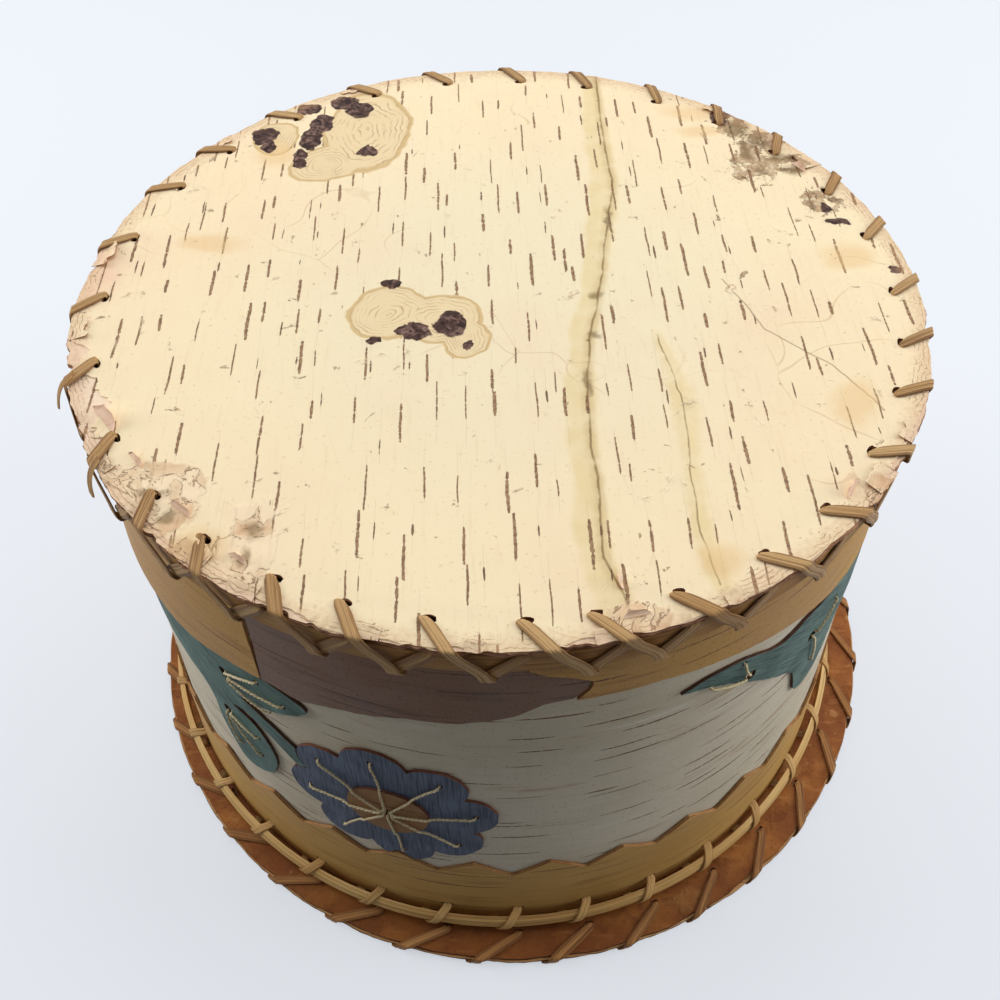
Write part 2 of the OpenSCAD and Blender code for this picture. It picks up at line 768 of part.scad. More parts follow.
lid_outer_disc();
lid_inner_disc();
lid_edge_lacing();
lid_ring();
lid_ring_lacing();
wall();
wall_seam_lacing();
base_disc();
base_hoop();
base_lacing();
base_lacing_returns();
base_collar_light();
base_collar_dark();
mouth_collar();
mouth_hoop_outer();
mouth_hoop_inner();
mouth_lashing();
flower_petals(front_flower);  // front_flower_petals
flower_centre(front_flower);  // front_flower_centre
flower_threads(front_flower);  // front_flower_threads
spray(front_spray_at, front_spray_edge, front_spray_hubs, front_spray_tips, front_flower);  // front_spray
spray_threads(front_spray_at, front_spray_hubs, front_spray_tips);  // front_spray_threads
flower_petals(side_flower);  // side_flower_petals
flower_centre(side_flower);  // side_flower_centre
flower_threads(side_flower);  // side_flower_threads
spray(side_spray_at, side_spray_edge, side_spray_hubs, side_spray_tips, side_flower);  // side_spray
spray_threads(side_spray_at, side_spray_hubs, side_spray_tips);  // side_spray_threads
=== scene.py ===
import math
import random

import bmesh
import bpy
import numpy as np
from mathutils import Matrix, Vector
from mathutils.geometry import delaunay_2d_cdt


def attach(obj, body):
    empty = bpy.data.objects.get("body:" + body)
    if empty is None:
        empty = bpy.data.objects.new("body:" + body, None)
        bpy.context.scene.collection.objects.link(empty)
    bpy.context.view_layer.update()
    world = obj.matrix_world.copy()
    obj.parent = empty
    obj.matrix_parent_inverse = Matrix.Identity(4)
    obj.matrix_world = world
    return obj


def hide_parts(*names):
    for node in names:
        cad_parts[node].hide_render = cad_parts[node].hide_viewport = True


# Birch bark box standing upside down on its lid. Lengths in this file are millimetres
# unless a name says otherwise; meshes are made in metres, as the frame wants them.
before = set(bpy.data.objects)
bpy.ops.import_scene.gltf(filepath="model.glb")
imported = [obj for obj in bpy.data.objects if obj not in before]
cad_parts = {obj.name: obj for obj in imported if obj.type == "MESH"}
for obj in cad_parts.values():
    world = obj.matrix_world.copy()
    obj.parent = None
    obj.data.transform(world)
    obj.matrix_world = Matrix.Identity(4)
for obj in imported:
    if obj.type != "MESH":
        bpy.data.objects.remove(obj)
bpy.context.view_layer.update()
mm = 0.001
print("frame loaded,", len(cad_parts), "solids")

box = {
    "x": -4.4, "y": 1.9,  # the box's axis; the lid's is at 0, 0
    "rimZ": 6.49, "baseZ": 205.89, "topZ": 208.49, "pressZ": 208.19,
    "mouthR": 152.5, "baseWallR": 144.0, "wallT": 2.0,
    "discR": 150.24, "holeR": 139.74,
    "hoopZ": 195.54, "hoopTopZ": 204.54, "baseSlitZ": 193.89, "rimSlitZ": 15.18,
    "rimMidZ": 10.49, "flatR": 148.0,  # radius at which the wall is laid out flat
}
bands = {
    "lift": 0.15, "thick": 1.2, "darkThick": 0.9,
    "height": 45, "wave": 12, "waves": 3, "crest": -76, "lightTo": 238.5,
    "valleyZ": 47.49, "peakZ": 56.99, "teeth": 33, "toothFirst": 4.6,
}
lid = {"r": 169.0, "inset": 0.8, "outerT": 2.4, "top": 4.0, "pare": 1.2, "pareR": 154.5,
       "holeR": 157.5, "first": -99.5, "turn": 5.4, "stitches": 34,
       "ringR": 142.89, "ringIn": 140.89, "ringTop": 32.0, "ringHoleZ": 10, "ringStitches": 10}
lacing = {
    "wide": 3.8, "thick": 0.9, "lift": 0.6,
    "holes": [-98, -87, -79, -69, -57, -46, -34, -22, -12, -1, 12, 24, 37, 49, 61, 74, 86,
              99, 112, 127, 141, 153, 167, 181, 195, 210, 222, 232, 243, 252],
    "edgeTurn": 3.2, "baseTurn": 7.5, "returnTurn": 3.6,
    "wraps": 34, "rimFirst": -98, "rimTurn": 3.6,
}


def wallR(z):
    run = (np.asarray(z, float) - box["rimZ"]) / (box["baseZ"] - box["rimZ"])
    return box["mouthR"] - (box["mouthR"] - box["baseWallR"]) * run


def around(r, degrees, z, centre=None):
    a = np.radians(degrees)
    x, y = centre or (box["x"], box["y"])
    r, a, z = np.broadcast_arrays(np.asarray(r, float), a, np.asarray(z, float))
    return np.stack([x + r * np.cos(a), y + r * np.sin(a), z], -1)


def ringAt(r, degrees, centre=None):
    return around(r, degrees, 0, centre)[..., :2]


def step(low, high, value):
    t = np.clip((value - low) / (high - low), 0, 1)
    return t * t * (3 - 2 * t)


def unit(vectors):
    return vectors / (np.linalg.norm(vectors, axis=1)[:, None] + 1e-9)


def runAlong(points):  # how far along a bent line each of its points lies
    return np.concatenate([[0], np.cumsum(np.linalg.norm(np.diff(points, axis=0), axis=1))])


def lattice(p, seed):
    cell = np.floor(p).astype(np.int64)
    t = p - cell
    t = t * t * (3 - 2 * t)
    total = np.zeros(len(p))
    for corner in range(8):
        d = np.array([corner & 1, corner >> 1 & 1, corner >> 2 & 1])
        c = cell + d
        h = (c[:, 0] * 73856093) ^ (c[:, 1] * 19349663) ^ (c[:, 2] * 83492791) ^ (seed * 7919)
        h = ((h ^ (h >> 13)) & 0xFFFFFFFF) * 1274126177 & 0x7FFFFFFF
        h = (h ^ (h >> 15)) & 0xFFFF
        total += np.prod(np.where(d, t, 1 - t), axis=1) * h / 65535
    return total * 2 - 1


def rough(p, size, seed=0, octaves=3):  # smooth noise from -1 to 1; size is its largest bump
    p = np.atleast_2d(np.asarray(p, float)) / size
    if p.shape[1] == 2:
        p = np.column_stack([p, np.full(len(p), 0.37)])
    total, most = 0, 0
    for k in range(octaves):
        total = total + lattice(p * 2 ** k + 17.3 * k, seed + k) / 2 ** k
        most += 1 / 2 ** k
    return total / most * 1.6


def ringNoise(degrees, size, r, seed=0, octaves=3):  # noise that closes round a circle
    return rough(around(r, degrees, 0, (0, 0)), size, seed, octaves)


def lineNoise(run, size, seed, octaves=3, aside=0.0):
    return rough(np.column_stack([run, run * 0 + aside]), size, seed, octaves)


def inside(points, loops):
    hit = np.zeros(len(points), bool)
    for loop in loops:
        a, b = loop, np.roll(loop, -1, 0)
        rise = b[:, 1] - a[:, 1]
        rise = np.where(abs(rise) < 1e-9, 1e-9, rise)
        for part in range(0, len(points), 4000):
            p = points[part:part + 4000]
            y = p[:, 1:2]
            spans = (a[None, :, 1] > y) != (b[None, :, 1] > y)
            x = a[:, 0] + (y - a[:, 1]) * (b[:, 0] - a[:, 0]) / rise
            odd = np.count_nonzero(spans & (p[:, :1] < x), axis=1) % 2 == 1
            hit[part:part + 4000] ^= odd
    return hit


def nearest(points, others):
    far = np.full(len(points), 1e9)
    for part in range(0, len(points), 1500):
        d = points[part:part + 1500, None] - others[None]
        far[part:part + 1500] = np.sqrt((d ** 2).sum(-1).min(1))
    return far


def offLine(points, line):  # distance to a bent line
    line = np.asarray(line, float)
    best = np.full(len(points), 1e9)
    for a, b in zip(line[:-1], line[1:]):
        way = b - a
        t = np.clip(((points - a) @ way) / np.linalg.norm(way) ** 2, 0, 1)
        best = np.minimum(best, np.linalg.norm(points - a - t[:, None] * way, axis=1))
    return best


def makePiece(name, parts, body, node, slot, looks, sharp=40, deep=1.0):
    verts, faces, flat, kinds = parts
    flat = np.asarray(flat) * (1, 1, deep)
    mesh = bpy.data.meshes.new(name)
    mesh.from_pydata((np.asarray(verts) * mm).tolist(), [], faces)
    mesh.attributes.new("flat", "FLOAT_VECTOR", "POINT").data.foreach_set(
        "vector", (flat * mm).astype(np.float32).ravel())
    for look in looks:
        mesh.materials.append(finishes[look])
    mesh.polygons.foreach_set("material_index", np.asarray(kinds, np.int32))
    work = bmesh.new()
    work.from_mesh(mesh)
    bmesh.ops.recalc_face_normals(work, faces=work.faces)
    work.to_mesh(mesh)
    work.free()
    mesh.validate()
    mesh.shade_smooth()
    mesh.set_sharp_from_angle(angle=math.radians(sharp))
    piece = bpy.data.objects.new(name, mesh)
    bpy.context.scene.collection.objects.link(piece)
    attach(piece, body)
    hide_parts(node)
    return piece


def cutPattern(loops, spacing, seed, keep=None):
    # a flat sheet: jittered points inside, fine points along every cut, joined by triangles
    keep = keep or (lambda p: inside(p, loops))
    edge = np.concatenate(loops)
    low, high = edge.min(0), edge.max(0)
    rng = np.random.default_rng(seed)
    rows = np.arange(low[1] + spacing / 2, high[1], spacing * 0.87)
    cols = np.arange(low[0] + spacing / 2, high[0], spacing)
    grid = np.array([(x + (j % 2) * spacing / 2, y) for j, y in enumerate(rows) for x in cols])
    grid += rng.uniform(-0.16, 0.16, grid.shape) * spacing
    grid = grid[keep(grid)]
    grid = grid[nearest(grid, edge) > 0.55 * spacing]
    coords = [Vector(p) for p in np.concatenate([edge, grid]).tolist()]
    links, start = [], 0
    for loop in loops:
        n = len(loop)
        links += [(start + i, start + (i + 1) % n) for i in range(n)]
        start += n
    points, _, faces, _, _, _ = delaunay_2d_cdt(coords, links, [], 0, 1e-5)
    points = np.array([p[:] for p in points])
    faces = np.array([f[:3] for f in faces])
    faces = faces[keep(points[faces].mean(1))]
    a, b, c = points[faces[:, 0]], points[faces[:, 1]], points[faces[:, 2]]
    area = (b[:, 0] - a[:, 0]) * (c[:, 1] - a[:, 1]) - (b[:, 1] - a[:, 1]) * (c[:, 0] - a[:, 0])
    faces = faces[abs(area) > 1e-6]
    area = area[abs(area) > 1e-6]
    faces[area < 0] = faces[area < 0][:, ::-1]
    used = np.unique(faces)
    renumber = np.full(len(points), -1)
    renumber[used] = np.arange(len(used))
    return points[used], renumber[faces]


def sheetMesh(pattern, place, layers=1, ragged=0.0, seed=0):
    # gives the flat pattern its thickness; the cut edge is a stack of layers of bark,
    # each a little longer or shorter than the one above
    points, faces = pattern
    n = len(points)
    pairs = np.concatenate([faces[:, [0, 1]], faces[:, [1, 2]], faces[:, [2, 0]]]).tolist()
    known = {tuple(p) for p in pairs}
    rim = np.array([p for p in pairs if (p[1], p[0]) not in known])
    out = np.zeros((n, 2))
    d = points[rim[:, 1]] - points[rim[:, 0]]
    normal = unit(np.column_stack([d[:, 1], -d[:, 0]]))
    np.add.at(out, rim[:, 0], normal)
    np.add.at(out, rim[:, 1], normal)
    edgeIds = np.unique(rim)
    slotOf = np.full(n, -1)
    slotOf[edgeIds] = np.arange(len(edgeIds))
    edgePoints, edgeOut = points[edgeIds], unit(out)[edgeIds]

    def shifted(k):
        if k == 0 or not ragged:
            return edgePoints.copy()
        push = ragged * rough(edgePoints + 91.7 * k, 5.0, seed + 31 * k, 3)
        return edgePoints + edgeOut * push[:, None]

    under = points.copy()
    under[edgeIds] = shifted(layers - 1)
    levels = [(points, 0.0)]
    for k in range(1, layers):
        levels += [(shifted(k - 1), k / layers), (shifted(k), k / layers)]
    levels.append((under, 1.0))
    verts = np.concatenate([place(p, depth) for p, depth in levels])
    flats = np.concatenate([np.column_stack([p, np.full(len(p), depth)]) for p, depth in levels])
    last = len(verts) - n
    rings = [edgeIds] + [start + np.arange(len(edgeIds))
                         for start in range(n, last, len(edgeIds))] + [last + edgeIds]
    quads = []
    for upper, lower in zip(rings[:-1], rings[1:]):
        u, l = upper[slotOf[rim]], lower[slotOf[rim]]
        quads.append(np.column_stack([u[:, 1], u[:, 0], l[:, 0], l[:, 1]]))
    quads = np.concatenate(quads).tolist()
    allFaces = faces.tolist() + quads + (faces[:, ::-1] + last).tolist()
    return verts, allFaces, flats, [0] * len(faces) + [1] * len(quads) + [2] * len(faces)


def joined(parts):
    verts, faces, flats, kinds, start = [], [], [], [], 0
    for v, f, a, k in parts:
        verts.append(v)
        flats.append(a)
        faces += [[i + start for i in face] for face in f]
        kinds += list(k)
        start += len(v)
    return np.concatenate(verts), faces, np.concatenate(flats), kinds


def cutSheet(name, node, slot, looks, loops, place, spacing, seeds, layers=3, ragged=0.15,
             keep=None, body="box", deep=1.0):
    # a piece cut from one sheet of bark; seeds are the pattern's and the edge's
    pattern = cutPattern(loops, spacing, seeds[0], keep)
    sheet = sheetMesh(pattern, place, layers, ragged, seeds[1])
    return makePiece(name, sheet, body, node, slot, looks, deep=deep)


def smoothPath(points, gap):  # a curve through the points that never loops at a tight one
    p = np.asarray(points, float)
    ends = np.vstack([2 * p[0] - p[1], p, 2 * p[-1] - p[-2]])
    out = []
    for i in range(1, len(ends) - 2):
        four = ends[i - 1:i + 3]
        t = [0.0]
        for a, b in zip(four[:-1], four[1:]):
            t.append(t[-1] + max(np.linalg.norm(b - a), 1e-3) ** 0.5)
        count = max(2, int(math.ceil(np.linalg.norm(four[2] - four[1]) / gap)))
        s = np.linspace(t[1], t[2], count, endpoint=False)[:, None]

        def blend(a, b, j, k, t=t, s=s):
            return (t[k] - s) / (t[k] - t[j]) * a + (s - t[j]) / (t[k] - t[j]) * b

        level = [blend(four[j], four[j + 1], j, j + 1) for j in range(3)]
        level = [blend(level[j], level[j + 1], j, j + 2) for j in range(2)]
        out.append(blend(*level, 1, 2))
    out.append(p[-1:])
    return np.concatenate(out)


def tubeFaces(n, k):
    faces = []
    for a in range(0, (n - 1) * k, k):
        faces += [[a + j, a + (j + 1) % k, a + k + (j + 1) % k, a + k + j] for j in range(k)]
    return faces + [list(range(k - 1, -1, -1)), [(n - 1) * k + j for j in range(k)]]


def sweepMesh(rail, across, section, wide, thick, mark=0.0):
    n, k = len(rail), len(section)
    along = unit(np.gradient(rail, axis=0))
    lean = np.sqrt(np.clip(1 - (along * across).sum(1) ** 2, 0.2, 1))
    up = unit(np.cross(along, across))
    wide = np.broadcast_to(wide, n) / lean
    thick = np.broadcast_to(thick, n)
    verts = (rail[:, None] + across[:, None] * (section[None, :, :1] * wide[:, None, None])
             + up[:, None] * (section[None, :, 1:2] * thick[:, None, None]))
    flat = np.stack([np.broadcast_to(runAlong(rail)[:, None], (n, k)),
                     section[None, :, 0] * wide[:, None],
                     np.full((n, k), mark)], -1)
    faces = tubeFaces(n, k)
    return verts.reshape(-1, 3), faces, flat.reshape(-1, 3), [0] * len(faces)


class Wire:
    # one value in a shader, so that what a material works out reads as plain sums
    def __init__(self, tree, socket):
        self.tree, self.socket = tree, socket

    def other(self, name):  # another output of the same node
        return Wire(self.tree, self.socket.node.outputs[name])

    def calc(self, operation, *values):
        return addNode(self.tree, "Math", dict(enumerate((self, *values))), operation=operation)

    def vector(self, operation, second=None, **more):
        out = "Value" if operation in ("LENGTH", "DISTANCE", "DOT_PRODUCT") else 0
        return addNode(self.tree, "VectorMath", {0: self, 1: second, **more}, out,
                       operation=operation)

    def clamped(self):
        self.socket.node.use_clamp = True
        return self

    def parts(self):
        node = addNode(self.tree, "SeparateXYZ", {0: self})
        return [node.other(i) for i in range(3)]

    def noise(self, scale, detail, out=0, **more):
        return addNode(self.tree, "TexNoise",
                       {"Vector": self, "Scale": scale, "Detail": detail, **more}, out)

    def span(self, low, high, toLow=0.0, toHigh=1.0):
        return addNode(self.tree, "MapRange", {0: self, 1: low, 2: high, 3: toLow, 4: toHigh},
                       interpolation_type="SMOOTHSTEP")

    def group(self, label, *values):  # a shared group, with its values in their own order
        return addNode(self.tree, "Group", dict(enumerate((self, *values))),
                       node_tree=groups[label])

    def coat(self, mask, colour):  # this colour, with another over it where the mask is
        return mixed(mask, self, colour)

    def ramp(self, stops):
        made = addNode(self.tree, "ValToRGB", {0: self})
        bar = made.socket.node.color_ramp
        while len(bar.elements) < len(stops):
            bar.elements.new(0.5)
        for element, (place, colour) in zip(bar.elements, stops):
            element.position, element.color = place, paint(colour)
        return made

    def __abs__(self):
        return self.calc("ABSOLUTE")

    def __add__(self, value):
        return self.calc("ADD", value)

    def __sub__(self, value):
        return self.calc("SUBTRACT", value)

    def __rsub__(self, value):
        return addNode(self.tree, "Math", {0: value, 1: self}, operation="SUBTRACT")

    def __mul__(self, value):
        return self.calc("MULTIPLY", value)

    def __truediv__(self, value):
        return self.calc("DIVIDE", value)


def paint(colour):  # a colour as a paint card names it, in the shader's own scale
    if isinstance(colour, Wire):
        return colour
    shares = [c / 255 for c in colour]
    return (*(c / 12.92 if c <= 0.04045 else ((c + 0.055) / 1.055) ** 2.4 for c in shares), 1.0)


def addNode(tree, kind, sockets=None, out=0, **settings):
    made = tree.nodes.new("ShaderNode" + kind)
    for key, value in settings.items():
        setattr(made, key, value)
    for key, value in (sockets or {}).items():
        if isinstance(value, Wire):
            tree.links.new(value.socket, made.inputs[key])
        elif value is not None:
            made.inputs[key].default_value = value
    return Wire(tree, made.outputs[out])


def mixed(mask, first, second):
    return addNode(mask.tree, "Mix", {0: mask, 6: paint(first), 7: paint(second)}, 2,
                   data_type="RGBA")


def combined(x, y, z=0.0):
    tree = next(value.tree for value in (x, y) if isinstance(value, Wire))
    return addNode(tree, "CombineXYZ", {"X": x, "Y": y, "Z": z})


def newGroup(name, build, inputs, outputs):  # an input is a vector where no value is given
    tree = bpy.data.node_groups.new(name, "ShaderNodeTree")
    for label, value in inputs.items():
        kind = "Vector" if value is None else "Float"
        socket = tree.interface.new_socket(label, in_out="INPUT", socket_type="NodeSocket" + kind)
        if value is not None:
            socket.default_value = value
    for label in outputs:
        tree.interface.new_socket(label, in_out="OUTPUT", socket_type="NodeSocketFloat")
    given = tree.nodes.new("NodeGroupInput").outputs
    result = tree.nodes.new("NodeGroupOutput").inputs
    for label, made in zip(outputs, build(*(Wire(tree, given[key]) for key in inputs))):
        tree.links.new(made.socket, result[label])
    return tree


def lenticels(vector, gapAcross, gapAlong, halfLength, width, amount, seed, blunt):
    # short dark dashes: X runs across them and Y along them
    tree = vector.tree
    cell = combined(gapAcross, gapAlong, 1.0)
    moved = vector.vector("ADD", vector.noise(90.0, 1.0, "Color").vector("SCALE", Scale=0.0009))
    scaled = moved.vector("DIVIDE", cell).vector("ADD", combined(seed, seed))
    cells = addNode(tree, "TexVoronoi", {"Vector": scaled, "Scale": 1.0, "Randomness": 0.9},
                    "Color", voronoi_dimensions="2D")
    away = scaled.vector("SUBTRACT", cells.other("Position"))
    across, along, _ = away.vector("MULTIPLY", cell).parts()
    chance = addNode(tree, "SeparateColor", {0: cells})
    howLong, whether, howStout = (chance.other(i) for i in range(3))
    bead = addNode(tree, "TexNoise", {"W": along * 420.0 + howLong * 90.0, "Scale": 1.0,
                                      "Detail": 1.0}, noise_dimensions="1D")
    taper = (1.1 - abs(along) / (halfLength * (howLong * 0.9 + 0.45))).clamped()
    stout = (howStout * 0.9 + 0.55) * bead.span(0.27, 0.33, 0.45, 1.0)
    ragged = (vector.noise(900.0, 2.0) * 1.3 + 0.1) * taper.calc("POWER", blunt)
    inLine = 1.0 - abs(across) / (width * stout * ragged).calc("MAXIMUM", 1e-5)
    shown = inLine.span(0.0, 0.35) * whether.calc("LESS_THAN", amount)
    return shown, inLine.span(0.45, 0.1)


def fibreStreaks(vector, along, across, detail):
    return [vector.vector("MULTIPLY", combined(along, across, 1.0)).noise(
        1.0, detail, Roughness=0.6)]


def blotches(vector, scale, low, high, detail):
    return [vector.noise(scale, detail, Roughness=0.6).span(low, high)]


def ovalSpot(vector, centre, size):  # how deep a place lies in an oval: 1 is its edge
    away = vector.vector("SUBTRACT", centre).vector("MULTIPLY", (1.0, 1.0, 0.0))
    return [away.vector("DIVIDE", size).vector("LENGTH")]


def nearLine(vector, start, way):  # how far a place lies from a straight line
    away = vector.vector("SUBTRACT", start)
    share = (away.vector("DOT_PRODUCT", way) / way.vector("DOT_PRODUCT", way)).clamped()
    return [away.vector("DISTANCE", way.vector("SCALE", Scale=share))]


groups = {
    "lenticels": newGroup("barkLenticels", lenticels, {
        "Vector": None, "Gap Across": 0.012, "Gap Along": 0.024, "Half Length": 0.006,
        "Width": 0.0009, "Amount": 0.8, "Seed": 0.0, "Blunt": 0.25}, ["Mask", "Rim"]),
    "streaks": newGroup("fibreStreaks", fibreStreaks, {
        "Vector": None, "Along": 40.0, "Across": 900.0, "Detail": 4.0}, ["Value"]),
    "blotches": newGroup("blotches", blotches, {
        "Vector": None, "Scale": 20.0, "Low": 0.45, "High": 0.6, "Detail": 4.0}, ["Mask"]),
    "spot": newGroup("ovalSpot", ovalSpot, {"Vector": None, "Centre": None, "Size": None},
                     ["Depth"]),
    "line": newGroup("nearLine", nearLine, {"Vector": None, "From": None, "Way": None},
                     ["Distance"]),
}
print("shader groups made")


def smallest(wires):
    least = wires[0]
    for wire in wires[1:]:
        least = least.calc("MINIMUM", wire)
    return least


def nearSpots(vector, spots):
    return smallest([vector.group("spot", (x * mm, y * mm, 0), (wide * mm, high * mm, 1.0))
                     for (x, y), (wide, high) in spots])


def nearPath(vector, points):
    return smallest([vector.group("line", (ax * mm, ay * mm, 0),
                                  ((bx - ax) * mm, (by - ay) * mm, 0))
                     for (ax, ay), (bx, by) in zip(points[:-1], points[1:])])


def turnedBy(vector, degrees):
    return addNode(vector.tree, "VectorRotate", {"Vector": vector, "Angle": math.radians(degrees)},
                   rotation_type="Z_AXIS")


def swapped(vector):
    x, y, _ = vector.parts()
    return combined(y, x)


def newMaterial(name, build, *looks):
    # build gives the colour, the roughness, the height and how deep the height goes
    material = bpy.data.materials.new(name)
    material.use_nodes = True
    tree = material.node_tree
    shader = tree.nodes["Principled BSDF"]
    shader.inputs["Specular IOR Level"].default_value = 0.15  # bark and root are matt
    flat = addNode(tree, "Attribute", None, "Vector", attribute_name="flat")
    colour, roughness, height, deep = build(flat, *looks)
    bump = addNode(tree, "Bump", {"Height": height, "Strength": 1.0, "Distance": deep * mm})
    for wire, label in ((colour, "Base Color"), (roughness, "Roughness"), (bump, "Normal")):
        tree.links.new(wire.socket, shader.inputs[label])
    return material


# the pale disc's marks, in millimetres on the disc
discMarks = {
    "rings": [((-42, -11), (15.5, 14)), ((-26, -13), (17, 12.5)), ((-16, -22), (8, 11)),
              ((-60, 103), (18.5, 30)), ((-74, 80), (13.5, 13)), ((-97, 99), (10, 12))],
    "scabs": [((-33, -20), (6.5, 4)), ((-20.5, -16), (6, 7)), ((-43, 5), (3.8, 2.2)),
              ((-14, -27), (2, 2.4)), ((-47, -25), (3.4, 1.8)), ((-79, 108), (5, 8)),
              ((-82, 97), (4.5, 8)), ((-85, 83), (2.6, 7)), ((-71, 125), (7, 5)),
              ((-64, 119), (6, 6)), ((-58, 88), (4, 4.5)), ((-102, 100), (6, 7)),
              ((-86, 120), (6, 4)), ((-99, 92), (3, 5)), ((88, 113), (4, 6)),
              ((121, 49), (2.5, 4)), ((124, 40), (5, 2)), ((139, 13), (2.4, 1.6))],
    "smudges": [((30, -2), (3.2, 2.6)), ((29, -22), (3, 2.6)), ((25.5, -46), (1.8, 7)),
                ((37, 42), (1.6, 8)), ((-76, -106), (3.5, 4)), ((-77, -116), (2, 5)),
                ((95, 104), (6, 8)), ((101, 95), (5, 6)), ((108, 83), (7, 4)),
                ((113, 74), (5, 4)), ((96, 88), (3, 8)), ((124, 40), (6, 2)),
                ((-109, -92), (6, 2.5)), ((-103, -102), (4, 3))],
    "clouds": [((74, 118), (13, 9)), ((77, 102), (11, 6)), ((-112, 30), (14, 7)),
               ((-95, 88), (12, 9)), ((125, 20), (12, 8)), ((-90, -114), (14, 9)),
               ((112, -52), (10, 14)), ((60, -118), (9, 8))],
    "creases": [[(38, 146), (38, 111), (40, 68), (35, 24), (31, -4), (27, -25), (25, -53),
                 (25, -75), (27, -87), (26, -103), (27, -117), (32, -131), (36, -146)],
                [(50, -22), (56, -53), (55, -87), (56, -107), (59, -126)]],
    "scratch": [(76, 7), (88, -20), (107, -37), (120, -58)],
    "mossy": [((92, 106), (8, 12)), ((102, 94), (13, 10)), ((110, 79), (11, 8)),
              ((97, 78), (12, 15)), ((120, 54), (9, 11))],
    "torn": [((-108, -88), (19, 10)), ((-104, -100), (12, 10)), ((-76, -112), (8, 17)),
             ((-88, -117), (18, 9)), ((36, -137), (11, 6)), ((113, -92), (7, 9))],
    "lean": -2.24,
    # where the top layer has come away from the rim: angle, half width, depth
    "peeled": [(202, 14, 11), (228, 13, 3.5), (243, 10, 3), (262, 9, 1.8), (281, 6, 2.6),
               (327, 12, 3.2), (352, 6, 1.5), (20, 9, 1.6), (52, 10, 1.2), (95, 8, 0.8),
               (140, 10, 1.2), (172, 9, 2.2)],
}


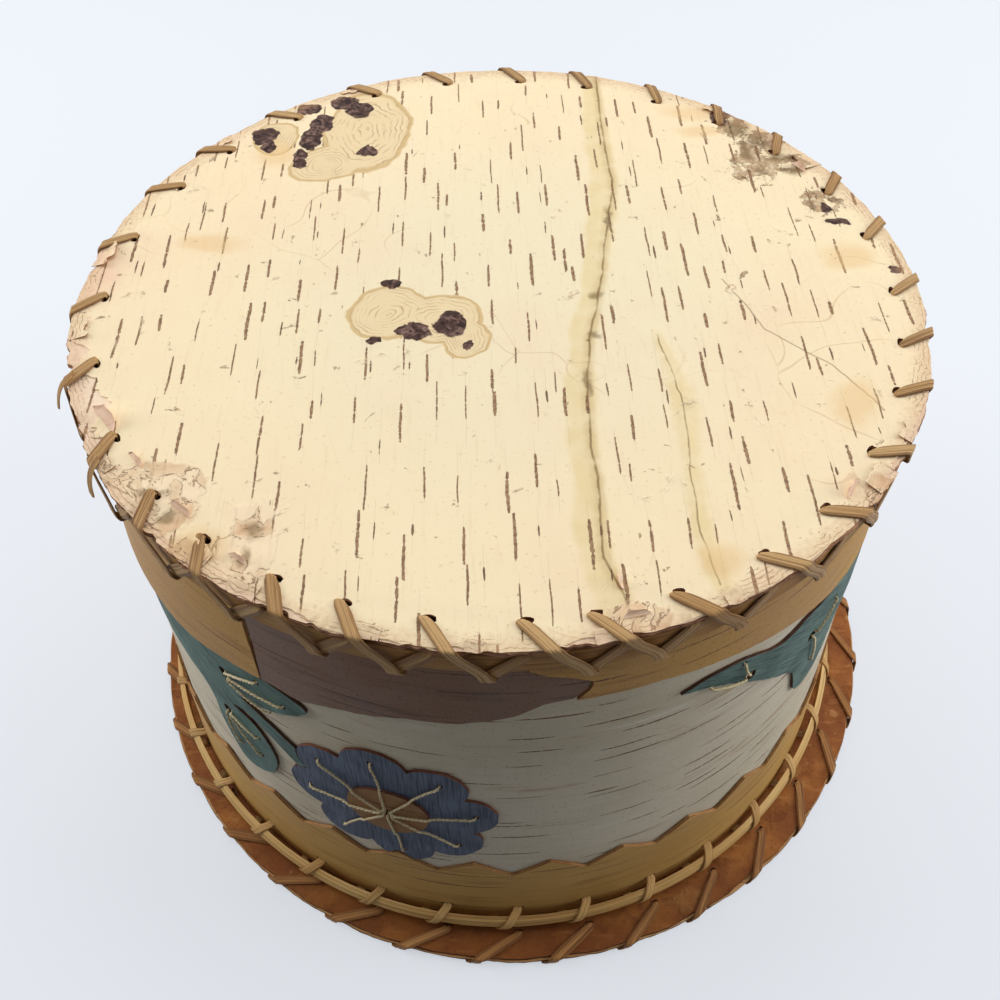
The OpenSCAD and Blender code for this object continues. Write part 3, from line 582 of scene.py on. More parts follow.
def discBark(flat):
    def warped(scale, push):
        stray = flat.noise(scale, 3.0, "Color").vector("SUBTRACT", (0.5, 0.5, 0.5))
        return flat.vector("ADD", stray.vector("SCALE", Scale=push))

    def lines(value):  # 0 where a line lies, every time the value grows by 1
        return abs(value.calc("FRACT") - 0.5)

    tree = flat.tree
    turned = turnedBy(flat, discMarks["lean"])
    stained, torn, rim = addNode(tree, "Attribute", None, "Vector",
                                 attribute_name="marks").parts()
    mossy, peeled, _ = addNode(tree, "Attribute", None, "Vector",
                               attribute_name="moreMarks").parts()
    colour = mixed(flat.group("blotches", 9.0, 0.35, 0.7), (253, 234, 194), (252, 229, 190))
    colour = colour.coat(flat.vector("LENGTH").span(0.13, 0.03, 0, 0.75), (245, 231, 196))
    pink = flat.group("blotches", 16.0, 0.5, 0.75)
    colour = colour.coat((pink * (rim + 0.25)).clamped(), (245, 208, 176))
    # crosswise fibres, fine peeling flecks and hair cracks
    fibre = swapped(turned)
    streak = fibre.group("streaks", 45.0, 420.0, 5.0)
    colour = colour.coat(streak.span(0.55, 0.8, 0, 0.35), (232, 203, 160))
    fleck = flat.noise(620.0, 3.0)
    colour = colour.coat(fleck.span(0.62, 0.72, 0, 0.4), (221, 186, 142))
    bent = flat.vector("ADD", flat.noise(14.0, 2.0, "Color").vector("SCALE", Scale=0.09))
    cracks = addNode(tree, "TexVoronoi", {"Vector": bent, "Scale": 21.0},
                     feature="DISTANCE_TO_EDGE")
    hair = cracks.span(0.008, 0.002, 0, 0.4) * flat.group("blotches", 13.0, 0.52, 0.62)
    colour = colour.coat(hair, (205, 165, 118))
    # the layer under the peeled rim, yellow, half clear stain along the creases, and painted shade
    # either side of the first crease
    colour = colour.coat(peeled * streak.span(0.25, 0.7, 0.75, 1.0),
                         mixed(pink, (251, 226, 198), (243, 208, 180)))
    wander = flat.noise(120.0, 4.0)
    stain = (stained + (wander - 0.5) * 0.7).span(0.15, 0.75)
    colour = colour.coat(stain * wander.span(0.3, 0.65, 0.35, 0.62), (232, 208, 148))
    plane = warped(60.0, 0.0035).vector("MULTIPLY", (1.0, 1.0, 0.0))
    fold, side = (nearPath(plane, line) for line in discMarks["creases"])
    scratch = nearPath(plane, discMarks["scratch"]).span(0.00045, 0.0002, 0, 0.55)
    strength = wander.span(0.3, 0.55, 0.35, 1.0)
    # painted shade: a broad darker band either side of the first crease, for the shade of the fold
    colour = colour.coat(fold.span(0.0032, 0.0, 0, 0.42) * strength, (188, 158, 104))
    side = side.span(0.0004, 0.00015, 0, 0.7) * strength
    fold = fold.span(0.00055, 0.0002, 0, 0.8) * strength
    colour = colour.coat(fold.calc("MAXIMUM", side.calc("MAXIMUM", scratch)), (138, 108, 66))
    # knots
    knotDepth = nearSpots(warped(48.0, 0.012), discMarks["rings"])
    knot = knotDepth.span(1.03, 0.97)
    growth = lines(knotDepth * 8.0 + wander * 2.2).span(0.16, 0.03) * knot
    colour = colour.coat(knot * wander.span(0.3, 0.6, 0.6, 0.85),
                         mixed(wander, (228, 197, 144), (247, 226, 184)))
    colour = colour.coat(knotDepth.span(0.84, 0.95) * knot * 0.7, (208, 174, 116))
    growth = growth * wander.span(0.4, 0.62, 0.05, 0.6)
    colour = colour.coat(growth, (172, 130, 80))
    # torn places: layers lifting in curved lines, whose dark lines are partly the layers' own edges
    # and partly painted shade under them, with a few dark pits; mossy ones beside them
    moss = fibre.noise(210.0, 6.0, Roughness=0.75)
    layers = flat.noise(70.0, 4.0, Roughness=0.62, Distortion=0.7)
    patches = flat.noise(150.0, 5.0, Roughness=0.7, Distortion=0.5)
    tornMask = (torn + (layers - 0.5) * 2.4).span(0.35, 0.55)
    mossMask = (mossy * 0.62 + (patches - 0.5) * 2.6).span(0.4, 0.52)
    contour = lines(layers * 5.0).span(0.07, 0.015) * moss.span(0.58, 0.45)
    contour = contour * tornMask.calc("MAXIMUM", mossy)
    colour = colour.coat(tornMask * 0.75, mixed(layers.span(0.3, 0.6), (210, 162, 118),
                                                (252, 228, 192)))
    # painted shade in part: the dark lines where the lifting layers step stand for their edges and
    # the shade beneath them
    colour = colour.coat(contour * 0.7, (150, 108, 72))
    colour = colour.coat(moss.span(0.38, 0.32) * tornMask, (104, 72, 48))
    mossPaint = moss.ramp([(0.34, (84, 58, 40)), (0.45, (140, 106, 72)),
                           (0.54, (192, 156, 114)), (0.64, (222, 208, 184))])
    atRim = rim.span(0.72, 1.0, 0, 0.75) * patches.span(0.35, 0.6)
    colour = colour.coat(mossMask * 0.8, mossPaint.coat(atRim, (122, 90, 62)))
    colour = colour.coat(contour * mossy * 0.75, (112, 80, 54))
    # lenticels
    dash = turned.group("lenticels", 0.0112, 0.0235, 0.0068, 0.00066, 0.92, 0.0, 0.12)
    dot = turned.group("lenticels", 0.019, 0.018, 0.0026, 0.00045, 0.3, 7.0)
    free = (1.0 - knot.calc("MAXIMUM", tornMask * 0.8)).clamped()
    dashes = dash.calc("MAXIMUM", dot) * free
    dashPaint = mixed(fleck.span(0.4, 0.6), (122, 86, 60), (166, 128, 94))
    colour = colour.coat(dashes * 0.94, dashPaint.coat(dash.other("Rim") * 0.6, (92, 62, 44)))
    # scabs, smudges and clouds
    broken = warped(190.0, 0.0065)
    scabs = nearSpots(broken, discMarks["scabs"]).span(1.0, 0.9)
    smudges = nearSpots(broken, discMarks["smudges"]).span(1.2, 0.3, 0, 0.7)
    clouds = nearSpots(warped(30.0, 0.02), discMarks["clouds"]).span(1.1, 0.4, 0, 0.5)
    crust = flat.noise(300.0, 5.0, Distortion=1.2)
    colour = colour.coat(smudges, (128, 104, 66)).coat(clouds, (238, 198, 138))
    colour = colour.coat(scabs, crust.ramp([(0.38, (46, 28, 24)), (0.52, (84, 58, 50)),
                                            (0.66, (134, 106, 94))]))
    # thin layers and dirt at the rim
    level = flat.vector("MULTIPLY", (1.0, 1.0, 0.0))
    inward = 150.3 * mm - level.vector("SUBTRACT", (box["x"] * mm, box["y"] * mm, 0.0)).vector(
        "LENGTH")
    layerLines = lines(inward * 620.0 + layers * 5.0).span(0.1, 0.02)
    layerLines = layerLines * inward.calc("LESS_THAN", layers.span(0.35, 0.7) * 0.009)
    colour = colour.coat(layerLines * 0.75, (134, 98, 68))
    colour = colour.coat((rim + fleck * 0.3).span(0.95, 1.25) * 0.55, (206, 160, 118))
    height = (streak * 0.3 - dashes * 0.5 + tornMask * (layers - contour * 0.6)
              + mossMask * moss + scabs * (crust * 1.4) - growth * 0.3)
    return colour, streak.span(0.2, 0.8, 0.5, 0.68), height, 0.5


def wallBark(flat):  # flat X runs round the box, Y up it
    streak = flat.group("streaks", 14.0, 190.0, 6.0)
    scrape = flat.group("streaks", 9.0, 60.0, 3.0)
    smear = flat.vector("ADD", (0.31, 0.17, 0.0)).group("streaks", 12.0, 75.0, 5.0)
    dash = swapped(flat).group("lenticels", 0.0082, 0.033, 0.0094, 0.00056, 0.8, 3.0, 0.4)
    colour = mixed(flat.group("blotches", 11.0, 0.4, 0.7), (222, 211, 188), (208, 196, 170))
    for mask, over in ((streak.span(0.55, 0.75, 0, 0.45), (186, 168, 142)),
                       (streak.span(0.42, 0.25, 0, 0.5), (240, 236, 228)),
                       (scrape.span(0.66, 0.72, 0, 0.5), (164, 132, 104)),
                       (flat.noise(700.0, 3.0).span(0.6, 0.7, 0, 0.5), (170, 146, 122)),
                       (dash, (116, 86, 62)),
                       (smear.span(0.58, 0.68, 0, 0.75), (178, 142, 104))):
        colour = colour.coat(mask, over)
    return colour, streak.span(0.2, 0.8, 0.55, 0.7), streak * 0.5 - dash * 0.5, 0.35


def bandBark(flat, base, dark, light, dash, dashAmount, speckle):
    # bark with its inner side out: streaks and a few long lenticel lines run round the box
    streak = flat.group("streaks", 22.0, 260.0, 6.0)
    cloud = flat.group("blotches", 17.0, 0.35, 0.7)
    lines = swapped(flat).group("lenticels", 0.0095, 0.042, 0.017, 0.0005, dashAmount, 11.0, 0.5)
    colour = mixed(cloud, base, light).coat(streak.span(0.5, 0.72, 0, 0.7), dark)
    colour = colour.coat(flat.noise(850.0, 3.0).span(0.6, 0.68, 0, speckle), dash)
    colour = colour.coat(lines * 0.9, dash)
    return colour, cloud.span(0, 1, 0.48, 0.66), streak * 0.6 - lines * 0.4, 0.3


def lidBark(flat):
    small = flat.group("blotches", 95.0, 0.45, 0.7)
    streak = flat.group("streaks", 60.0, 300.0, 5.0)
    # painted shade: the front of the brown disc is darkened where the box's shadow falls on it
    front = (flat.parts()[1] * -1.0 + small * 0.02).span(0.1, 0.17, 0, 0.5)
    colour = mixed(flat.group("blotches", 26.0, 0.38, 0.62), (174, 110, 50), (140, 80, 36))
    for mask, over in ((small * 0.6, (112, 60, 28)),
                       (streak.span(0.55, 0.75, 0, 0.5), (208, 146, 80)),
                       (flat.group("blotches", 130.0, 0.62, 0.72, 6.0) * 0.6, (210, 162, 102)),
                       (flat.group("blotches", 44.0, 0.6, 0.66, 6.0) * 0.45, (192, 142, 80)),
                       (flat.noise(760.0, 3.0).span(0.58, 0.7, 0, 0.5), (92, 46, 26)),
                       (front, (96, 52, 26))):
        colour = colour.coat(mask, over)
    return colour, small.span(0, 1, 0.46, 0.62), streak * 0.4 + small * 0.4, 0.35


def cutEdge(flat, light, dark):  # thin layers stacked through the thickness of the bark
    x, y, z = flat.parts()
    stack = combined(x * 60.0, y * 60.0, z * 9000.0).noise(1.0, 4.0)
    grit = flat.noise(500.0, 4.0)
    colour = mixed(stack.span(0.35, 0.65), light, dark).coat(grit.span(0.55, 0.7, 0, 0.6), dark)
    return colour, grit.span(0.3, 0.7, 0.6, 0.8), stack + grit, 0.3


def splitRoot(flat, base, light, dark, sheen):
    # flat X runs along the strap, Y across it, Z differs from strap to strap
    x, y, z = flat.parts()
    lane = combined(x, y, z * 700.0)
    fine = lane.group("streaks", 55.0, 1900.0, 4.0)
    coarse = lane.group("streaks", 22.0, 520.0, 3.0)
    each = addNode(flat.tree, "TexWhiteNoise", {"W": z * 1000.0}, "Value",
                   noise_dimensions="1D")
    split = abs(y + (each - 0.5) * (1.6 * mm)).span(0.22 * mm, 0.08 * mm, 0, 0.6)
    colour = mixed(each, base, light)
    for mask, over in ((coarse.span(0.45, 0.65, 0, 0.7), dark),
                       (fine.span(0.35, 0.6, 0.5, 0), light),
                       (fine.span(0.6, 0.72, 0, 0.7), dark), (split, dark),
                       (abs(y).span(1.3 * mm, 2.1 * mm, 0, 0.55), dark)):
        colour = colour.coat(mask, over)
    return colour, fine.span(0.3, 0.7, sheen, sheen + 0.2), fine + coarse, 0.35


def dyedBark(flat, base, dark, light, turn):
    # the dye leaves close dark hatching along the grain
    hatch = turnedBy(flat, turn).group("streaks", 60.0, 1300.0, 5.0)
    colour = mixed(flat.group("blotches", 60.0, 0.35, 0.68), base, light)
    colour = colour.coat(hatch.span(0.46, 0.66, 0, 0.75), dark)
    colour = colour.coat(flat.noise(900.0, 3.0).span(0.62, 0.7, 0, 0.5), light)
    return colour, hatch.span(0.3, 0.7, 0.5, 0.7), hatch, 0.25


def splitWood(flat, base, dark, light):
    fine = flat.group("streaks", 9.0, 1500.0, 4.0)
    coarse = flat.group("streaks", 5.0, 330.0, 3.0)
    colour = mixed(flat.group("blotches", 21.0, 0.4, 0.7), base, light)
    colour = colour.coat(coarse.span(0.45, 0.65, 0, 0.65), dark)
    colour = colour.coat(fine.span(0.55, 0.7, 0, 0.6), dark)
    return colour, fine.span(0.3, 0.7, 0.48, 0.68), fine + coarse, 0.3


finishes = {key: newMaterial(*look) for key, look in {
    "disc": ("outerBarkPale", discBark),
    "wall": ("outerBarkWhite", wallBark),
    "lid": ("innerBarkBrown", lidBark),
    # base, dark, light and dash paint, how many dashes, how speckled
    "gold": ("goldenBark", bandBark, (186, 140, 76), (146, 102, 52), (202, 158, 94),
             (86, 52, 32), 0.4, 0.5),
    "goldMouth": ("goldenBarkMouth", bandBark, (188, 144, 78), (156, 112, 56),
                  (204, 162, 96), (98, 60, 36), 0.5, 0.2),
    "rind": ("rindBark", bandBark, (116, 86, 70), (84, 58, 46), (136, 106, 86),
             (50, 30, 25), 0.85, 0.6),
    "curl": ("peeledBark", bandBark, (234, 196, 168), (206, 156, 126), (246, 218, 190),
             (150, 104, 78), 0.3, 0.3),
    "inner": ("innerBarkTan", bandBark, (196, 144, 90), (160, 108, 62), (212, 168, 116),
              (120, 72, 42), 0.5, 0.3),
    "centre": ("flowerCentreBark", bandBark, (118, 82, 50), (92, 60, 36), (150, 110, 68),
               (62, 38, 26), 0.5, 0.4),
    # light and dark layers
    "edge": ("barkEdge", cutEdge, (214, 160, 122), (112, 70, 50)),
    "edgeDark": ("bandEdge", cutEdge, (206, 160, 104), (140, 90, 54)),
    "edgeBrown": ("lidEdge", cutEdge, (140, 92, 54), (86, 52, 32)),
    "petalEdge": ("petalEdge", cutEdge, (140, 90, 66), (74, 46, 38)),
    "leafEdge": ("leafEdge", cutEdge, (104, 70, 50), (54, 38, 32)),
    # base, light and dark paint, least roughness
    "root": ("splitRoot", splitRoot, (176, 132, 82), (206, 168, 116), (112, 74, 42), 0.42),
    "rootRed": ("splitRootRed", splitRoot, (164, 112, 64), (188, 138, 84), (104, 62, 34), 0.44),
    "rootPale": ("splitRootPale", splitRoot, (196, 150, 90), (218, 180, 120), (132, 88, 46),
                 0.4),
    "sinew": ("sinewThread", splitRoot, (222, 204, 160), (238, 224, 186), (170, 144, 98), 0.4),
    # base, dark and light paint
    "hoop": ("hoopWood", splitWood, (176, 128, 72), (112, 76, 42), (196, 152, 94)),
    "rimHoop": ("rimHoopWood", splitWood, (212, 170, 106), (150, 104, 56), (226, 190, 128)),
    # and the way of the grain, in degrees
    "petal": ("dyedBlue", dyedBark, (68, 76, 92), (38, 42, 54), (88, 99, 118), 90),
    "leaf": ("dyedTeal", dyedBark, (70, 93, 87), (37, 55, 54), (99, 125, 115), 30),
}.items()}
print("materials made:", len(finishes))


def tornHole(x, y, wide, high, turn, seed):
    rng = np.random.default_rng(seed)
    a = np.arange(12) * math.pi / 6
    corner = 1 / np.maximum(abs(np.cos(a)), abs(np.sin(a))) ** 0.6
    r = corner * rng.uniform(0.86, 1.12, 12)
    px, py = wide / 2 * np.cos(a) * r, high / 2 * np.sin(a) * r
    c, s = math.cos(turn), math.sin(turn)
    return np.column_stack([x + c * px - s * py, y + s * px + c * py])


baseLook = {
    "layers": 5, "ragged": 0.55, "spacing": 2.8, "rimWander": 0.6,
    # flaps of the top layer that have rolled up: place, direction, length, width, radius, seed
    "curls": [((-131, -62), -52, 15, 6.5, 3.4, 1), ((31.5, -125), 100, 6, 3.5, 1.3, 2),
              ((104, -91), 60, 9, 4, 1.7, 3), ((35, -136.5), 14, 8, 3, 1.4, 4),
              ((-99, -99), -40, 9, 3.5, 1.5, 5), ((-117, -79), -50, 8, 3, 1.4, 6),
              ((-79, -117), -35, 7, 3, 1.3, 7), ((115, 76), -55, 8, 3, 1.5, 8)],
    # thin layers that stand up along the rim: angle, width, depth, how far they lift
    "flakes": [(-137, 9, 5, 0.9), (-127, 12, 8, 1.4), (-146, 8, 6, 1.0), (-119, 10, 5, 0.8),
               (172, 14, 6, 1.6), (188, 10, 6, 1.2), (-37, 11, 6, 1.4), (-28, 8, 5, 1.0),
               (-78, 7, 4, 1.0), (-63, 6, 4, 0.8), (33, 12, 7, 0.9), (52, 9, 5, 0.8),
               (-104, 9, 4, 0.7), (-92, 6, 3, 0.6), (141, 8, 5, 0.8), (116, 9, 4, 0.7)],
}


def fromMiddle(points):
    return np.hypot(points[:, 0] - box["x"], points[:, 1] - box["y"])


def peelLine(turn):
    # the radius at which the top layer of the disc ends, further in where it has come away
    depth = 0.35 + 0.5 * (ringNoise(turn, 7, 150, 33, 4) + 0.3).clip(0)
    ragged = (0.75 + 0.55 * ringNoise(turn, 6, 150, 34, 4)).clip(0.1)
    for at, half, deep in discMarks["peeled"]:
        away = abs((turn - at + 180) % 360 - 180)
        depth = np.maximum(depth, deep * step(half, half * 0.55, away) * ragged)
    return 150.2 - depth


def pastPeel(points):
    turn = np.degrees(np.arctan2(points[:, 1] - box["y"], points[:, 0] - box["x"]))
    return fromMiddle(points) - peelLine(turn)


def ovalDepths(points, spots):
    for (x, y), (wide, high) in spots:
        yield np.hypot((points[:, 0] - x) / wide, (points[:, 1] - y) / high)


def discRelief(points):
    r = fromMiddle(points)
    calm = 1 - 0.8 * step(132, 139, r)
    rise = 0.28 * rough(points, 70, 3, 2) * calm + 0.08 * rough(points, 9, 5, 3)
    for line, wide in zip(discMarks["creases"], (2.6, 1.8)):
        rise += calm * 0.55 * np.exp(-(offLine(points, line) / wide) ** 2)
    lumps = 0.75 + 0.5 * rough(points, 3, 13, 2)
    for d in ovalDepths(points, discMarks["scabs"]):
        rise += calm * 0.5 * step(1.15, 0.7, d) * lumps
    for d in ovalDepths(points, discMarks["rings"]):
        rise -= 0.06 * step(1.1, 0.9, d)
    lumps = 0.25 * rough(points, 4, 17, 3) - 0.1
    for d in ovalDepths(points, discMarks["torn"] + discMarks["mossy"]):
        rise += step(1.1, 0.6, d) * lumps
    press = (box["topZ"] - box["pressZ"]) * step(136, 139.5, r)
    return rise - press - 0.42 * step(0.02, 0.28, pastPeel(points))


def addMarks(piece, points):
    stain, torn, mossy = np.zeros((3, len(points)))
    reach = 1 + 0.35 * rough(points, 28, 35, 2)
    for line, wide, aside, most in zip(discMarks["creases"], (5.2, 4.0), (2.6, -0.5), (1.0, 0.7)):
        far = offLine(points + (aside, 0), line)
        stain = np.maximum(stain, most * step(1.4, 0.3, far / (wide * reach)))
    for d in ovalDepths(points, discMarks["torn"]):
        torn = np.maximum(torn, step(1.25, 0.5, d))
    for d in ovalDepths(points, discMarks["mossy"]):
        mossy = np.maximum(mossy, step(1.3, 0.4, d))
    rim, peeled = step(120, 150.5, fromMiddle(points)), step(0.12, 0.3, pastPeel(points))
    for label, marks in (("marks", (stain, torn, rim)), ("moreMarks", (mossy, peeled, 0 * rim))):
        piece.data.attributes.new(label, "FLOAT_VECTOR", "POINT").data.foreach_set(
            "vector", np.column_stack(marks).astype(np.float32).ravel())


def curlMesh(spot, way, length, wide, bend, seed):
    a = math.radians(way)
    along, out = np.array([math.cos(a), math.sin(a)]), np.array([-math.sin(a), math.cos(a)])
    n, k = 15, 9
    verts = []
    for side in (0, 0.16):
        for u in np.linspace(-0.5, 0.5, n):
            reach = wide * max(1 - abs(2 * u) ** 2.2, 0.05) * (1 + 0.2 * math.sin(7 * u + seed))
            for v in np.linspace(0, 1, k):
                turn = v * reach / bend
                r = bend * (1 - 0.12 * v) - side
                across, up = r * math.sin(turn), bend - r * math.cos(turn)
                p = np.array(spot) + along * u * length + out * across
                verts.append((p[0], p[1], box["topZ"] + 0.02 + up))
    verts = np.array(verts)
    verts[:, 2] += discRelief(np.array([spot], float))[0] * 0.5
    faces, under = [], n * k
    for i in range(n - 1):
        for p in range(i * k, i * k + k - 1):
            faces.append([p, p + 1, p + k + 1, p + k])
            faces.append([under + p, under + p + k, under + p + k + 1, under + p + 1])
    edge = (list(range(0, n * k, k)) + [(n - 1) * k + j for j in range(1, k)]
            + [i * k + k - 1 for i in range(n - 2, -1, -1)] + list(range(k - 2, 0, -1)))
    faces += [[q, p, under + p, under + q] for p, q in zip(edge, edge[1:] + edge[:1])]
    return verts, faces, verts * (1, 1, 0), [3] * len(faces)


def flakeMesh(i, degree, wide, deep, lift):
    a = np.linspace(-wide / 2, wide / 2, 26)
    outer = 149.9 + 0.5 * lineNoise(a, 3, 50 + i)
    inner = np.minimum(150 - deep + 1.6 * lineNoise(a, 4, 70 + i, aside=9), outer - 1.0)
    turn = degree + np.degrees(a / 150)
    loop = np.concatenate([ringAt(outer, turn), ringAt(inner, turn)[::-1]])

    def raised(p, depth):
        up = lift * step(148, 150 - deep, fromMiddle(p)) ** 1.5
        up = up * (0.8 + 0.4 * rough(p, 6, 90 + i, 2))
        return np.column_stack([p, box["topZ"] + discRelief(p) + 0.02 + up + 0.22 * (1 - depth)])

    return sheetMesh(cutPattern([loop], 1.4, 80 + i), raised)


def buildBaseDisc():
    degrees = np.arange(0, 360, 0.4)
    wander = baseLook["rimWander"] * (ringNoise(degrees, 9, 150, 21, 4) - 0.55)
    bite = (ringNoise(degrees, 5, 150, 25, 3) + 0.1).clip(0)
    for at, half, deep in discMarks["peeled"]:
        away = abs((degrees - at + 180) % 360 - 180)
        wander -= min(deep, 3) * 0.7 * bite * step(half, half * 0.5, away)
    loops = [ringAt(box["discR"] + wander, degrees)]
    line = np.minimum(peelLine(degrees), box["discR"] + wander - 0.5)
    ledges = [ringAt(line, degrees), ringAt(line + 0.32, degrees)]
    for i, h in enumerate(lacing["holes"]):
        spot = ringAt(box["holeR"] + 0.3, h + 0.6)
        loops.append(tornHole(*spot, 2.5, 4.0, math.radians(h), 400 + i))

    def place(p, depth):
        top, under = box["topZ"] + discRelief(p), box["baseZ"] + 0.05
        return np.column_stack([p, top * (1 - depth) + under * depth])

    pattern = cutPattern(loops + ledges, baseLook["spacing"], 1, lambda p: inside(p, loops))
    parts = [sheetMesh(pattern, place, baseLook["layers"], baseLook["ragged"], 5)]
    parts += [curlMesh(*curl) for curl in baseLook["curls"]]
    parts += [flakeMesh(i, *flake) for i, flake in enumerate(baseLook["flakes"])]
    parts = joined(parts)
    piece = makePiece("base_disc_bark", parts, "box", "base_disc", "birch",
                      ["disc", "edge", "inner", "curl"], deep=2.6)
    addMarks(piece, parts[2][:, :2])


buildBaseDisc()
print("base disc made")


def flatDegrees(points):  # points hold the distance round at flatR and the height
    return np.degrees(points[:, 0] / box["flatR"])


def flatToWall(points, lift):
    return around(wallR(points[:, 1]) + lift, flatDegrees(points), points[:, 1])


def roundTo(degrees):
    return math.radians(degrees) * box["flatR"]


def upright(degrees, z):  # an upright line on the flat pattern
    return np.column_stack([np.full(len(z), roundTo(degrees)), z])


def level(x, z):
    return np.column_stack([x, np.full(len(x), z)])


wallLook = {"seam": 90, "halfLap": 4.88, "spacing": 5.0, "seamStitches": 7, "seamRise": 5,
            "seamHoleTurn": 3.17}


def bandSlits(low, high, rim, base):
    # rim and base say whether the sheet has the slits of that lacing
    wraps = [lacing["rimFirst"] + 360 * i / lacing["wraps"] for i in range(lacing["wraps"])]
    straps = [h + lacing["baseTurn"] for h in lacing["holes"]]
    loops = []
    for cut, spots, spare, z, wide, tall, seed in (
            (rim, wraps, 2, box["rimSlitZ"] + 0.2, 4.9, 2.4, 500),
            (base, straps, 1.5, box["baseSlitZ"], 5.0, 3.2, 600)):
        for i, a in enumerate(spots):
            for turn in (-720, -360, 0, 360):
                if cut and low + spare < a + turn < high - spare:
                    loops.append(tornHole(roundTo(a + turn), z, wide, tall, 0, seed + i))
    return loops


def buildWall():
    low = wallLook["seam"] - wallLook["halfLap"] - 360
    high = wallLook["seam"] + wallLook["halfLap"]
    x = np.arange(roundTo(low), roundTo(high), 2.5)
    z = np.arange(box["rimZ"], box["baseZ"] - 0.1, 2.5)
    end = upright(high, z)
    end[:, 0] += 0.5 * lineNoise(z, 8, 3)
    outline = np.concatenate([level(x, box["rimZ"] + 0.1), end[1:],
                              level(x[::-1], box["baseZ"] - 0.05), upright(low, z)[::-1][:-1]])
    loops = [outline] + bandSlits(low, high, True, True)

    def place(p, depth):
        degrees = flatDegrees(p)
        over = step(high - 11.5, high - 10.2, degrees)  # the end that lies outside
        below = step(low + 11.5, low + 10.2, degrees)  # the end that lies inside
        lift = -1.1 * below * (1 - depth) + (-box["wallT"] + 1.08 * over) * depth
        wave = 0.12 * rough(around(150, degrees, p[:, 1], (0, 0)), 60, 7, 2)
        return flatToWall(p, lift + np.minimum(wave, 0.05))

    cutSheet("wall_bark", "wall", "birch", ["wall", "edge", "inner"], loops, place,
             wallLook["spacing"], (2, 8), deep=2.0)


buildWall()
print("wall made")


def baseEdge(degrees):
    turn = np.radians(bands["waves"] * (degrees - bands["crest"]))
    return box["baseZ"] - bands["height"] + bands["wave"] * np.cos(turn)


darkLower = [(-121.4, 152), (-115.4, 150.5), (-112.4, 153.2), (-106, 157.5), (-101, 160.5),
             (-94.8, 160.8), (-91.7, 163), (-87.4, 166.4), (-84.5, 171.5), (-80.9, 173.3)]
tongue = [(-79.3, 178), (-79.1, 181.5), (-81.5, 184.8), (-84.5, 187.5), (-86.6, 190.5),
          (-87.4, 198), (-87.6, 205.69)]


def bandEdge(degrees):
    return np.where((degrees > -121.6) & (degrees < -81), np.interp(
        degrees, *np.array(darkLower).T), baseEdge(degrees))


def buildBaseBand(name, node, slot, finish, lower, right, left, thick, seed):
    # lower, right and left are bent lines of angles and heights
    def fine(line):
        line = np.asarray(line, float)
        run = runAlong(line * (2.6, 1))
        at = np.linspace(0, run[-1], max(2, int(run[-1] / 1.5)))
        return np.column_stack([roundTo(1) * np.interp(at, run, line[:, 0]),
                                np.interp(at, run, line[:, 1])])

    sides = [fine(line) for line in (lower, right, left)]
    for k, side in enumerate(sides):
        sway = rough(side, 7, seed + k, 3)[1:-1, None]
        side[1:-1] += sway * ((0, 0.55), (0.5, 0), (0.35, 0))[k]
    top = level(np.arange(sides[1][-1, 0] - 2, sides[2][-1, 0] + 1, -2.5), box["baseZ"] - 0.2)
    outline = np.concatenate([sides[0], sides[1][1:], top, sides[2][::-1][:-1]])
    low, high = sides[0][0, 0] / roundTo(1), sides[0][-1, 0] / roundTo(1)
    loops = [outline] + bandSlits(low + 1, min(high, right[-1][0]) - 1, False, True)

    def place(p, depth):
        degrees = flatDegrees(p)
        up = (p[:, 1] - bandEdge(degrees)) / 40
        away = abs((degrees + 145 + 180) % 360 - 180)
        gap = 0.35 * step(0.3, 0.0, up) * (0.5 + 0.5 * rough(p, 30, seed + 5, 2))
        gap += 1.6 * step(0.75, 0.0, up) * step(22, 6, away)  # where it stands off the wall
        return flatToWall(p, bands["lift"] + gap + thick * (1 - depth))

    cutSheet(name, node, slot, [finish, "edgeDark", "inner"], loops, place, 4.0, (seed, seed),
             ragged=0.18)


def buildBaseBands():
    top = box["baseZ"] - 0.2
    low, high = -80.75, bands["lightTo"]
    wave = [(a, float(baseEdge(a))) for a in np.arange(low + 0.3, high, 1.0)]
    end = (high, float(baseEdge(high)))
    buildBaseBand("golden_band", "base_collar_light", "gold_bark", "gold", wave + [end],
                  [end, (high - 0.4, 175), (high + 0.1, 190), (high, top)],
                  [wave[0]] + [(a + 0.45, z) for a, z in tongue], bands["thick"], 30)
    buildBaseBand("dark_band", "base_collar_dark", "rind", "rind", darkLower,
                  [darkLower[-1]] + tongue,
                  [darkLower[0], (-121.0, 175), (-121.3, 190), (-121.2, top)],
                  bands["darkThick"], 40)


buildBaseBands()


def toothEdge(degrees):
    share = ((degrees - bands["toothFirst"]) * bands["teeth"] / 360) % 1.0
    soft = (abs(share - 0.5) * 2 - 0.5) * 1.05
    return bands["valleyZ"] + (bands["peakZ"] - bands["valleyZ"]) * np.clip(0.5 + soft, 0, 1)


